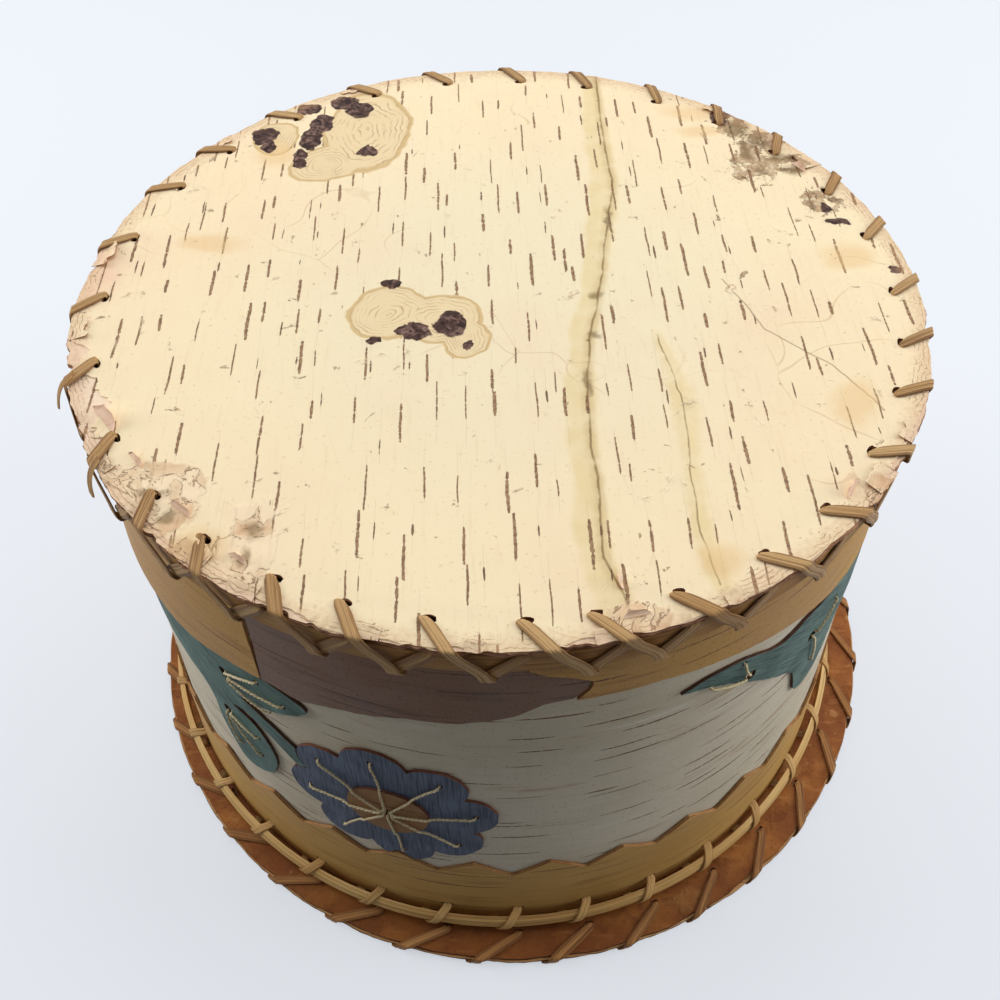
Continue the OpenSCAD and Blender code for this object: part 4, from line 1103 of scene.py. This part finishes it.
def buildMouthBand():
    high = bands["toothFirst"] + 8.5 * 360 / bands["teeth"]
    low = high - 360 + 0.2
    turn = np.arange(low, high, 0.45)
    x = np.radians(turn) * box["flatR"]
    upper = toothEdge(turn) + 0.5 * lineNoise(x, 14, 61, 2) - 0.3
    side = np.arange(0.08, 0.95, 0.06)
    bottom = box["rimZ"] + 0.05
    outline = np.concatenate([level(x, bottom), upright(high, bottom + (upper[-1] - bottom) * side),
                              np.column_stack([x, upper])[::-1],
                              upright(low, bottom + (upper[0] - bottom) * side)[::-1]])
    loops = [outline] + bandSlits(low, high, True, False)

    def place(p, depth):
        wave = 0.5 + 0.5 * ringNoise(flatDegrees(p), 30, 150, 63, 2)
        gap = 0.3 * step(34, 52, p[:, 1]) * wave
        return flatToWall(p, bands["lift"] + gap + bands["thick"] * (1 - depth))

    cutSheet("zigzag_band", "mouth_collar", "gold_bark", ["goldMouth", "edgeDark", "inner"],
             loops, place, 3.6, (60, 62))


buildMouthBand()
print("bands made")


def buildLidDiscs():
    degrees = np.arange(0, 360, 0.6)
    pitch = 360 / lid["stitches"]
    swing = np.radians((degrees - lid["first"] + lid["turn"]) * 360 / pitch)
    pull = 0.5 * (1 - np.cos(swing)) - 0.5
    outerR = lid["r"] + 0.35 * pull + 0.3 * (ringNoise(degrees, 14, 169, 71, 4) - 0.4)
    innerR = lid["r"] - lid["inset"] + 0.45 * pull
    innerR = innerR + 0.45 * (ringNoise(degrees, 11, 169, 75, 4) - 0.3)
    innerR = np.minimum(innerR, outerR - 0.25)

    def placeOuter(p, depth):
        r = np.hypot(p[:, 0], p[:, 1])
        under = lid["pare"] * step(lid["pareR"] - 2, lid["pareR"] + 0.4, r)
        top = lid["outerT"] - 0.05 - 0.02 * depth
        return np.column_stack([p, top * (1 - depth) + under * depth])

    def placeInner(p, depth):
        low = 0.1 * rough(p, 40, 77, 2) * step(100, 160, np.hypot(p[:, 0], p[:, 1]))
        top = lid["top"] + np.minimum(low, 0.05)
        return np.column_stack([p, top * (1 - depth) + lid["outerT"] * depth])

    # the outer disc's holes close round the root; the brown disc's are wider
    for name, node, radius, place, seed, looks, slot, hole, inward in (
            ("lid_outer_bark", "lid_outer_disc", outerR, placeOuter, 700,
             ["inner", "edgeBrown", "disc"], "birch", (0.8, 3.0), 0.0),
            ("lid_inner_bark", "lid_inner_disc", innerR, placeInner, 740,
             ["lid", "edgeBrown", "inner"], "inner_bark", (1.7, 3.8), 0.2)):
        loops = [ringAt(radius, degrees, (0, 0))]
        for i in range(lid["stitches"]):
            a = lid["first"] + i * pitch
            spot = ringAt(lid["holeR"] - inward, a, (0, 0))
            loops.append(tornHole(*spot, *hole, math.radians(a), seed + i))
        piece = cutSheet(name, node, slot, looks, loops, place, 5.0, (seed, seed), ragged=0.3,
                         body="lid", deep=2.0)
        if "disc" in looks:
            for label in ("marks", "moreMarks"):
                piece.data.attributes.new(label, "FLOAT_VECTOR", "POINT")


buildLidDiscs()
print("lid discs made")


def buildLidRing():
    low, high = 109.0, 467.6  # the ring's ends meet near the back
    x = np.arange(roundTo(low), roundTo(high), 3.0)
    z0, z1 = lid["top"] + 0.1, lid["ringTop"]
    z = np.arange(z0 + 2, z1 - 1, 2.5)
    upper = z1 + 0.3 * (lineNoise(x, 20, 81) - 0.6)
    loops = [np.concatenate([level(x, z0), upright(high, z), np.column_stack([x, upper])[::-1],
                             upright(low, z)[::-1]])]
    for i in range(lid["ringStitches"]):
        for a in (36 * i, 36 * i + 360):
            if low + 2 < a < high - 2:
                loops.append(tornHole(roundTo(a), lid["ringHoleZ"], 4.8, 2.0, 0, 800 + i))

    def place(p, depth):
        r = lid["ringR"] - (lid["ringR"] - lid["ringIn"]) * depth
        return around(r, flatDegrees(p), p[:, 1])

    cutSheet("lid_ring_bark", "lid_ring", "gold_bark", ["goldMouth", "edge", "inner"], loops,
             place, 4.0, (82, 83), ragged=0.2, body="lid")


buildLidRing()


hoopLook = {"gap": 0.8, "endGap": 0.12, "ridge": 0.05}


def buildHoop(name, node, finish, profile, cutAt, seed, wander):
    # profile holds places across the hoop as radius and height; the ends meet at cutAt
    last = cutAt + 360 - hoopLook["endGap"]
    degrees = np.append(np.arange(cutAt + hoopLook["endGap"], last, hoopLook["gap"]), last)
    profile = np.asarray(profile, float)
    n, k = len(degrees), len(profile)
    verts, flats = np.zeros((n, k, 3)), np.zeros((n, k, 3))
    walk = runAlong(profile)
    away = profile - profile.mean(0)
    away /= np.linalg.norm(away, axis=1)[:, None]
    for j in range(k):
        shrink = wander * (ringNoise(degrees, 22, 150 + 0.7 * j, seed, 3) - 0.5) * 0.5
        shrink = shrink + hoopLook["ridge"] * math.sin(j * 2.4 + seed)
        r, z = profile[j, :, None] + away[j, :, None] * shrink
        verts[:, j] = around(r, degrees, z)
        flats[:, j] = np.column_stack([np.radians(degrees) * box["flatR"],
                                       np.full(n, walk[j]), np.full(n, seed)])
    faces = tubeFaces(n, k)
    parts = verts.reshape(-1, 3), faces, flats.reshape(-1, 3), [0] * len(faces)
    makePiece(name, parts, "box", node, "split_wood", [finish], 50)


def bowProfile(flatR, low, high, bulge, side, count=13):
    # half round: flat against the wall, bowed away from it, with a shallow groove
    mid, half = (low + high) / 2, (high - low) / 2
    bow = (half * half + bulge * bulge) / (2 * bulge)
    start = math.asin(half / bow)
    a = np.linspace(-start, start, count)
    z = mid + bow * np.sin(a)
    groove = 0.7 * np.exp(-((z - mid - 1.5) / 0.45) ** 2)
    return np.column_stack([flatR + side * (bulge - bow + bow * np.cos(a)) - side * groove, z])


slabProfile = [(145.99, 195.9), (146.3, 195.6), (148.2, 195.56), (148.8, 195.9), (148.93, 196.8),
               (148.86, 198.6), (148.94, 200.2), (148.84, 201.9), (148.93, 203.2), (148.75, 204.1),
               (148.2, 204.5), (146.4, 204.5), (145.99, 204.1), (145.96, 200.0)]
buildHoop("base_hoop_wood", "base_hoop", "hoop", slabProfile, 50, 5, 0.25)
buildHoop("rim_hoop_wood", "mouth_hoop_outer", "rimHoop",
          bowProfile(154.02, 6.52, 14.46, 5.5, 1), 124, 7, 0.2)
buildHoop("rim_hoop_inner_wood", "mouth_hoop_inner", "rimHoop",
          bowProfile(149.99, 6.52, 14.46, 3.98, -1), 56, 9, 0.2)
print("hoops made")


strapSection = np.array([(-0.5, -0.15), (-0.48, 0.2), (-0.36, 0.42), (-0.2, 0.44), (-0.1, 0.3),
                         (0.08, 0.46), (0.3, 0.4), (0.48, 0.16), (0.5, -0.15), (0.44, -0.42),
                         (0.2, -0.49), (-0.05, -0.46), (-0.25, -0.5), (-0.44, -0.42)])


def strapMesh(path, seed, centre=None, wide=None, stands=False, gap=0.9, pinch=0.0):
    spots = around(*np.asarray(path, float).T, centre)
    rail = smoothPath(spots, gap)
    x, y = centre or (box["x"], box["y"])
    a = np.arctan2(rail[:, 1] - y, rail[:, 0] - x)
    across = np.column_stack([-np.sin(a), np.cos(a), 0 * a])
    if stands:
        across = np.tile((0.0, 0.0, 1.0), (len(rail), 1))
    run = np.arange(len(rail)) * gap
    each = random.Random(seed).uniform(-0.1, 0.04)
    w = (wide or lacing["wide"]) * (1 + each + 0.06 * lineNoise(run, 9, seed, aside=seed * 3.1))
    w = w * (1 - pinch * step(9, 2.5, run))
    t = lacing["thick"] * (0.94 + 0.06 * lineNoise(run + 50, 5, seed, 2, seed))
    return sweepMesh(rail, across, strapSection, w, t, mark=seed * 0.37 % 7)


def lacePiece(name, node, parts, look="root", body="box"):
    makePiece(name, joined(parts), body, node, "root", [look], 50)


def buildBaseLacing():
    holeR, baseR, edge = box["holeR"], box["discR"], box["discR"] + lacing["lift"]
    top, slit = box["pressZ"] + lacing["lift"], 193.15
    hoopIn, wallMid = 145.94, float(wallR(box["baseSlitZ"])) - 1
    backR, backSlit, high = 149.54, 194.64, box["hoopTopZ"] + 0.6
    over, under = [], []
    for i, h in enumerate(lacing["holes"]):
        a, b = h + lacing["edgeTurn"], h + lacing["baseTurn"]
        over.append(strapMesh([
            (holeR, h, box["baseZ"] + 0.4), (holeR, h, box["pressZ"] - 0.1),
            (holeR + 0.5, h, top - 0.15), (holeR + 1.7, h + 0.4, top),
            (baseR - 0.6, a - 0.3, top), (baseR + 0.4, a, top - 0.2), (edge, a + 0.3, top - 1.2),
            (edge, a + 0.8, box["baseZ"] - 0.3), (edge, a + 1.1, box["hoopTopZ"]),
            (edge, b - 0.9, box["hoopZ"] + 2), (edge, b - 0.3, slit + 1),
            (edge - 0.9, b, slit + 0.05), (hoopIn, b, slit), (wallMid, b, slit)],
            100 + i, wide=4.2, pinch=0.42))
        c = b + lacing["returnTurn"]
        under.append(strapMesh([
            (wallMid, b, backSlit), (148.04, b, backSlit), (backR - 0.1, b + 0.1, backSlit + 0.5),
            (backR, b + 0.5, box["hoopZ"] + 1), (backR, c - 0.5, box["hoopTopZ"] - 1),
            (backR - 0.1, c - 0.1, high - 0.3), (backR - 1.1, c, high), (hoopIn + 0.4, c, high)],
            200 + i, wide=5.3))
    # two cut ends of root that stick out past the rim on the left
    for seed, turn in ((31, 195), (32, 211)):
        over.append(strapMesh([
            (baseR - 2.5, turn + 2.2, top + 0.75), (baseR - 0.5, turn + 2.9, top + 0.7),
            (baseR + 1.5, turn + 3.5, top - 0.2), (baseR + 3.2, turn + 4.3, top - 2.2),
            (baseR + 4.2, turn + 5.2, top - 4.6)], seed, wide=2.6, gap=0.6))
    lacePiece("base_lacing_root", "base_lacing", over)
    lacePiece("base_return_root", "base_lacing_returns", under)


def buildLidLacing():
    pitch, top, under, meet = 360 / lid["stitches"], lid["top"] + 0.6, lid["pare"] - 0.6, 2.6
    holeR, r, turn = lid["holeR"], lid["r"], lid["turn"]
    edge, ring = [], []
    for i in range(lid["stitches"]):
        a = lid["first"] + i * pitch
        edge.append(strapMesh([
            (holeR, a, meet + 0.15), (holeR, a, lid["top"] - 0.1), (holeR + 0.5, a, top - 0.15),
            (holeR + 1.7, a - 0.4, top), (r - 0.6, a - turn + 0.4, top),
            (r + 0.4, a - turn, top - 0.2), (r + 0.6, a - turn - 0.3, top - 1.2),
            (r + 0.6, a - turn - 0.6, under + 1), (r + 0.4, a - turn - 0.9, under + 0.1),
            (r - 0.9, a - turn - 1.3, under), (holeR + 1.7, a - pitch + 0.4, under),
            (holeR + 0.5, a - pitch, under + 0.15), (holeR, a - pitch, lid["pare"] + 0.1),
            (holeR, a - pitch, meet - 0.15)], 300 + i, centre=(0, 0), wide=4.2, pinch=0.3))
    out, inn, low = lid["ringR"] + 0.6, lid["ringIn"] - 0.6, lid["outerT"] - 0.6
    for i in range(lid["ringStitches"]):
        a, z = 36 * i, lid["ringHoleZ"]
        ring.append(strapMesh([
            (142.04, a, z), (lid["ringR"] + 0.1, a, z), (out, a, z - 0.6), (out, a, low + 0.5),
            (out - 0.5, a, low), (inn + 0.5, a, low), (inn, a, low + 0.5), (inn, a, z - 0.6),
            (lid["ringIn"] - 0.1, a, z), (141.74, a, z)], 350 + i))
    lacePiece("lid_lacing_root", "lid_edge_lacing", edge, "rootRed", "lid")
    lacePiece("lid_ring_root", "lid_ring_lacing", ring, "rootRed", "lid")


def buildMouthLacing():
    parts = []
    slitR, z = float(wallR(15.18)), box["rimSlitZ"]
    # each wrap goes over both hoops in half circles, leaning a little as it goes
    halves = ((154.38, 5.75, 4.688, range(90, -91, -30), -90),
              (150.01, 4.669, 4.669, range(-90, -271, -30), 270))
    for i in range(lacing["wraps"]):
        a = lacing["rimFirst"] + 360 * i / lacing["wraps"]
        path = [(slitR - 0.7, a, z)]
        for r, wide, high, turns, start in halves:
            for f in turns:
                lean = lacing["rimTurn"] * abs(start + f) / 180
                path.append((r + wide * math.cos(math.radians(f)), a - lean,
                             box["rimMidZ"] + high * math.sin(math.radians(f))))
        path.append((slitR - 1.3, a, z))
        parts.append(strapMesh(path, 420 + i))
    lacePiece("mouth_lashing_root", "mouth_lashing", parts, "rootPale")


def buildSeamLacing():
    z0, z1 = bands["peakZ"] + 8, float(baseEdge(90)) - 8
    turn, rise = wallLook["seamHoleTurn"], wallLook["seamRise"]
    parts = []
    for i in range(wallLook["seamStitches"]):
        z = z0 + (z1 - z0) * i / (wallLook["seamStitches"] - 1)
        path = [(float(wallR(z + s * rise / 2)) + up, 90 + s * turn, z + s * rise / 2)
                for s, up in ((-1, -1.4), (-0.96, 0.45), (-0.75, 0.85), (0, 0.85), (0.75, 0.85),
                              (0.96, 0.45), (1, -1.4))]
        parts.append(strapMesh(path, 470 + i, stands=True))
    lacePiece("wall_seam_root", "wall_seam_lacing", parts, "rootPale")


buildBaseLacing()
buildLidLacing()
buildMouthLacing()
buildSeamLacing()
print("lacing made")


field = {"mid": 110.44, "scale": 0.999, "lift": 0.15, "thick": 1.0, "over": 1.3,
         "petalR": 40, "notchR": 31, "holeR": 32, "centreR": 15.2, "phase": 7, "knotR": 1.98,
         "room": 0.4}
flowers = {"front": (-105.2, -17.8), "side": (9, -14)}
sprays = {
    "front": {
        "at": -135,
        "edge": [(-66, 41), (-48, 39), (-28, 34), (-12, 33), (0, 36), (10, 41), (20, 42),
                 (33, 42), (43, 40), (53, 35), (48, 29), (38, 22), (26, 18), (17, 15), (23, 16),
                 (34, 9), (50, -4), (46, -15), (31, 1), (20, 8), (13, 4), (24, 1), (29, -8),
                 (32, -20), (28, -33), (18, -40), (10, -40), (6, -31), (1, -20), (1, -6), (-2, 2),
                 (-12, 5), (-26, 10), (-44, 20), (-60, 30)],
        "hubs": [(15, 26), (9, -5)],
        "tips": [[(32, 37), (42, 30), (35, 20)], [(24, -9), (23, -23), (12, -26)]]},
    "side": {
        "at": -28,
        "edge": [(-99, 48), (-91, 51), (-80, 52), (-70, 49), (-62, 44), (-53, 43), (-42, 46),
                 (-25, 45), (0, 37), (30, 19), (66, -8), (60, -20), (24, 5), (2, 17), (-10, 15),
                 (-15, 7), (-18, -4), (-23, -11), (-32, -13), (-39, -9), (-41, 3), (-46, 14),
                 (-58, 22), (-73, 35), (-85, 44)],
        "hubs": [(-71, 37), (-36, 26)],
        "tips": [[(-88, 44), (-75, 48)], [(-22, 33), (-31, 4)]]},
}


def fieldDegrees(at, p):  # p is in millimetres across and up on the field
    z = field["mid"] + field["scale"] * p[:, 1]
    return at + np.degrees(field["scale"] * p[:, 0] / wallR(z)), z


def onField(at, p, lift):
    turn, z = fieldDegrees(at, np.atleast_2d(np.asarray(p, float)))
    return around(wallR(z) + lift, turn, z)


def toward(degrees):
    return np.array([math.cos(math.radians(degrees)), math.sin(math.radians(degrees))])


def petalLoop(flower, grow):
    # the flower's outline, stopped short where the zigzag band is in its way
    at, y = flower
    out = []
    for a in np.arange(0, 360, 2.0):
        wave = abs(np.cos(np.radians(4 * (a - field["phase"])))) ** 0.6
        r = float(field["notchR"] + (field["petalR"] - field["notchR"]) * wave) + grow
        tries = np.linspace(25, r, 30)
        turn, z = fieldDegrees(at, np.array([0, y]) + tries[:, None] * toward(a))
        blocked = z < toothEdge(turn) + 0.9 - grow
        if blocked.any():
            r = tries[max(np.argmax(blocked) - 1, 0)]
        out.append(np.array([0, y]) + r * toward(a))
    return np.array(out)


def threadHole(p, radius, seed):
    rng = np.random.default_rng(seed)
    a = np.arange(9) * 2 * math.pi / 9
    r = radius * rng.uniform(0.75, 1.15, 9)
    return np.column_stack([p[0] + r * np.cos(a), p[1] + r * np.sin(a)])


def softened(loop, turns=2, keepBelow=75):  # rounds a loop's blunt corners, keeps sharp ones
    loop = np.asarray(loop, float)
    for _ in range(turns):
        u, v = np.roll(loop, 1, 0) - loop, np.roll(loop, -1, 0) - loop
        cosine = (u * v).sum(1) / (np.linalg.norm(u, axis=1) * np.linalg.norm(v, axis=1) + 1e-9)
        sharp = np.degrees(np.arccos(np.clip(cosine, -1, 1))) < keepBelow
        out = []
        for i, p in enumerate(loop):
            out += [p] if sharp[i] else [p + 0.25 * u[i], p + 0.25 * v[i]]
        loop = np.array(out)
    return loop


def spaced(loop, gap):
    out = []
    for a, b in zip(loop, np.roll(loop, -1, 0)):
        n = max(1, int(round(np.linalg.norm(b - a) / gap)))
        out.append(a + (b - a) * (np.arange(n) / n)[:, None])
    return np.concatenate(out)


def cutPiece(name, node, slot, at, loops, lift, looks, spacing, seeds, ragged=0.12, keep=None):
    def place(p, depth):
        wave = 0.15 * (0.5 + 0.5 * rough(p, 11, seeds[1], 2))
        return onField(at, p, lift + wave * (1 - 0.3 * depth) + field["thick"] * (1 - depth))

    cutSheet(name, node, slot, looks, loops, place, spacing, seeds, 2, ragged, keep)


def buildFlower(which, seed):
    at, y = flowers[which]
    middle = np.array([0, y])
    outline = petalLoop(flowers[which], 0)
    out = outline - middle
    out /= np.linalg.norm(out, axis=1)[:, None]
    outline = outline + out * (0.35 * rough(outline, 3, seed, 2)[:, None] - 0.15)
    loops = [outline, threadHole((0, y), 3.0, seed)]
    for i in range(8):
        spot = middle + field["holeR"] * toward(field["phase"] + 45 * i)
        loops.append(threadHole(spot, 1.25, seed + 1 + i))
    cutPiece(which + "_petals_bark", which + "_flower_petals", "petal_dye", at, loops,
             field["lift"], ["petal", "petalEdge", "inner"], 2.4, (seed, seed))
    degrees = np.arange(0, 360, 7.2)
    ring = field["centreR"] + 0.35 * lineNoise(degrees, 30, seed)
    heart = [ringAt(ring, degrees, (0, y)), threadHole((0, y), 2.6, seed + 20)]
    cutPiece(which + "_centre_bark", which + "_flower_centre", "inner_bark", at, heart,
             field["over"], ["centre", "petalEdge", "inner"], 2.2, (seed + 3, seed + 3))


def buildSpray(which, seed):
    spray = sprays[which]
    at = spray["at"]
    outline = spaced(softened(spray["edge"]), 1.2)
    outline = outline + 0.25 * np.column_stack([rough(outline + aside, 3, seed, 2)
                                                for aside in (0, 50)])
    # the flower's outline and the band's edge, seen from this spray's own middle
    petals = petalLoop(flowers[which], field["room"] + 0.1)
    turn, z = fieldDegrees(flowers[which][0], petals)
    petals = np.column_stack([np.radians(turn - at) * wallR(z) / field["scale"], petals[:, 1]])
    x = np.arange(-115, 115, 2.0)
    guess = np.full(len(x), 150.0)
    for _ in range(4):
        guess = baseEdge(at + np.degrees(x * field["scale"] / wallR(guess)))
    below = np.column_stack([x, (guess - 0.6 - field["mid"]) / field["scale"]])
    below = np.concatenate([below, [(115, -80), (-115, -80)]])
    holes = [threadHole(p, 2.9, seed + 5 + i) for i, p in enumerate(spray["hubs"])]
    holes += [threadHole(p, 1.2, seed + 9 + i) for i, p in enumerate(sum(spray["tips"], []))]

    def keep(p):
        return (inside(p, [outline]) & inside(p, [below]) & ~inside(p, [petals])
                & ~inside(p, holes))

    cutPiece(which + "_spray_bark", which + "_spray", "leaf_dye", at,
             [outline, petals, below] + holes, field["lift"], ["leaf", "leafEdge", "inner"], 2.4,
             (seed, seed), 0.1, keep)


threadLook = {"twist": 3.2, "strand": 0.62, "apart": 0.24}


def threadMesh(at, spots, seed):
    # two strands of sinew twisted round each other
    rail = smoothPath(np.concatenate([onField(at, (x, y), lift) for x, y, lift in spots]), 0.7)
    along = unit(np.gradient(rail, axis=0))
    side = unit(np.cross(along, (0.0, 0.0, 1.0)))
    up = np.cross(side, along)
    a = np.arange(7) * 2 * math.pi / 7
    section = np.column_stack([np.cos(a), np.sin(a)]) * 0.5
    parts = []
    for strand in (0, 1):
        phase = 2 * math.pi * runAlong(rail) / threadLook["twist"] + math.pi * strand + seed
        shift = np.cos(phase)[:, None] * side + np.sin(phase)[:, None] * up
        parts.append(sweepMesh(rail + threadLook["apart"] * shift, side, section,
                               threadLook["strand"], threadLook["strand"],
                               (seed * 0.41 + strand) % 5))
    return joined(parts)


def sinewPiece(name, node, parts):
    makePiece(name, joined(parts), "box", node, "sinew", ["sinew"], 60)


def buildFlowerThreads(which, seed):
    at, y = flowers[which]
    low, mid, high = 0.85, 1.9, 3.05
    rows = [(field["knotR"], low, 0), (field["knotR"] + 0.3, high, 0), (6, high + 0.25, 0.5),
            (12, high + 0.15, 0.9), (field["centreR"] - 0.6, high + 0.1, 1.0),
            (field["centreR"] + 1.6, mid + 0.5, 1.0), (25, mid + 0.15, 0.7),
            (field["holeR"] - 0.7, mid + 0.1, 0.05), (field["holeR"], low, 0)]
    parts = []
    for i in range(8):
        way = toward(field["phase"] + 45 * i)
        off = 0.8 * math.sin(seed + 2.3 * i) * np.array([-way[1], way[0]])
        spots = [(*(np.array([0, y]) + r * way + share * off), lift) for r, lift, share in rows]
        parts.append(threadMesh(at, spots, seed + i))
    sinewPiece(which + "_flower_sinew", which + "_flower_threads", parts)


def buildSprayThreads(which, seed):
    spray = sprays[which]
    rows = [(0, 0.85, 0), (0.02, 1.85, 0), (0.25, 2.1, 0.7), (0.5, 2.25, 1),
            (0.75, 2.1, 0.7), (0.975, 1.85, 0), (1, 0.85, 0)]
    parts = []
    for hub, tips in zip(spray["hubs"], spray["tips"]):
        way = np.mean(tips, axis=0) - hub
        for k, tip in enumerate(tips):
            spread = 60 * ((len(tips) - 1) / 2 - k)
            p = hub + field["knotR"] * toward(math.degrees(math.atan2(way[1], way[0])) + spread)
            d = (tip - p) / np.linalg.norm(tip - p)
            off = np.array([-d[1], d[0]]) * 0.7 * math.sin(seed + 1.7 * k)
            spots = [(*(p + (tip - p) * s + share * off), lift) for s, lift, share in rows]
            parts.append(threadMesh(spray["at"], spots, seed + k))
    sinewPiece(which + "_spray_sinew", which + "_spray_threads", parts)


for which, seed in (("front", 900), ("side", 950)):
    buildFlower(which, seed)
    buildSpray(which, seed + 11)
    buildFlowerThreads(which, seed + 23)
    buildSprayThreads(which, seed + 37)
print("flowers and sprays made")


room = {"floor": (236, 240, 246), "cloudy": (230, 235, 243), "bounce": (120, 121, 124),
        "sky": (244, 247, 252), "floorSize": 7.0, "worldStrength": 0.2, "backStrength": 0.9,
        "paperGlow": 0.62,
        # watts, size and place of each lamp, in metres
        "lamps": {"keyLamp": (18.8, 2.3, (0.1, 0.7, 1.5)),
                  "rightLamp": (12.5, 1.0, (1.35, 0.12, 0.6)),
                  "leftLamp": (12.5, 1.0, (-1.35, 0.3, 0.6))}}


def whereSeen(tree):  # 1 where the camera looks, straight or by way of a shiny or clear surface
    path = addNode(tree, "LightPath", None, "Is Camera Ray")
    return path.calc("MAXIMUM", path.other("Is Glossy Ray").calc(
        "MAXIMUM", path.other("Is Transmission Ray")))


def mixShader(tree, amount, first, second):
    return addNode(tree, "MixShader", {0: amount, 1: first, 2: second})


def buildFloor():
    bpy.ops.mesh.primitive_plane_add(size=room["floorSize"], location=(0, 0, -0.0001))
    floor = bpy.context.object
    floor.name = "paper_floor"
    material = bpy.data.materials.new("paperFloor")
    material.use_nodes = True
    tree = material.node_tree
    shader = tree.nodes["Principled BSDF"]
    place = addNode(tree, "TexCoord", None, "Object")
    colour = mixed(place.noise(3.0, 2.0), room["floor"], room["cloudy"])
    tree.links.new(colour.socket, shader.inputs["Base Color"])
    shader.inputs["Roughness"].default_value = 0.8
    # the camera sees white paper; the object is lit from it as from a greyer one
    glow = addNode(tree, "Emission", {"Color": paint(room["floor"])})
    paper = mixShader(tree, room["paperGlow"], Wire(tree, shader.outputs[0]), glow)
    grey = addNode(tree, "BsdfDiffuse", {"Color": paint(room["bounce"])})
    seen = mixShader(tree, whereSeen(tree), grey, paper)
    tree.links.new(seen.socket, tree.nodes["Material Output"].inputs["Surface"])
    floor.data.materials.append(material)


def buildLight():
    world = bpy.data.worlds.new("softDay")
    bpy.context.scene.world = world
    world.use_nodes = True
    tree = world.node_tree
    sky = tree.nodes["Background"]
    sky.inputs["Color"].default_value = paint(room["sky"])
    sky.inputs["Strength"].default_value = room["worldStrength"]
    back = addNode(tree, "Background", {"Color": paint(room["floor"]),
                                        "Strength": room["backStrength"]})
    seen = mixShader(tree, whereSeen(tree), Wire(tree, sky.outputs[0]), back)
    tree.links.new(seen.socket, tree.nodes["World Output"].inputs["Surface"])
    for name, (watts, size, spot) in room["lamps"].items():
        lamp = bpy.data.lights.new(name, "AREA")
        lamp.energy = watts
        lamp.shape = "DISK"
        lamp.size = size
        holder = bpy.data.objects.new(name, lamp)
        holder.location = spot
        aim = Vector((0, 0, 0.1)) - Vector(spot)
        holder.rotation_euler = aim.to_track_quat("-Z", "Y").to_euler()
        bpy.context.scene.collection.objects.link(holder)


buildFloor()
buildLight()

view = {"spot": (0.0, -0.29953, 0.45991), "yaw": -0.8857, "pitch": 50.8907, "roll": -0.7488,
        "focal": 1078.3, "frame": 1000, "sensor": 36.0}


def buildCamera():
    yaw, pitch, roll = (math.radians(view[k]) for k in ("yaw", "pitch", "roll"))
    ahead = Vector((math.sin(yaw) * math.cos(pitch), math.cos(yaw) * math.cos(pitch),
                    -math.sin(pitch)))
    right = Vector((math.cos(yaw), -math.sin(yaw), 0))
    up = right.cross(ahead)
    x = math.cos(roll) * right + math.sin(roll) * up
    y = -math.sin(roll) * right + math.cos(roll) * up
    turn = Matrix((x, y, -ahead)).transposed()
    lens = bpy.data.cameras.new("view")
    lens.sensor_width = view["sensor"]
    lens.lens = view["focal"] * view["sensor"] / view["frame"]
    lens.clip_start = 0.01
    lens.clip_end = 30
    camera = bpy.data.objects.new("view", lens)
    camera.matrix_world = Matrix.Translation(view["spot"]) @ turn.to_4x4()
    bpy.context.scene.collection.objects.link(camera)
    bpy.context.scene.camera = camera


buildCamera()
bpy.context.scene.view_settings.view_transform = "Standard"
print("room and camera made")
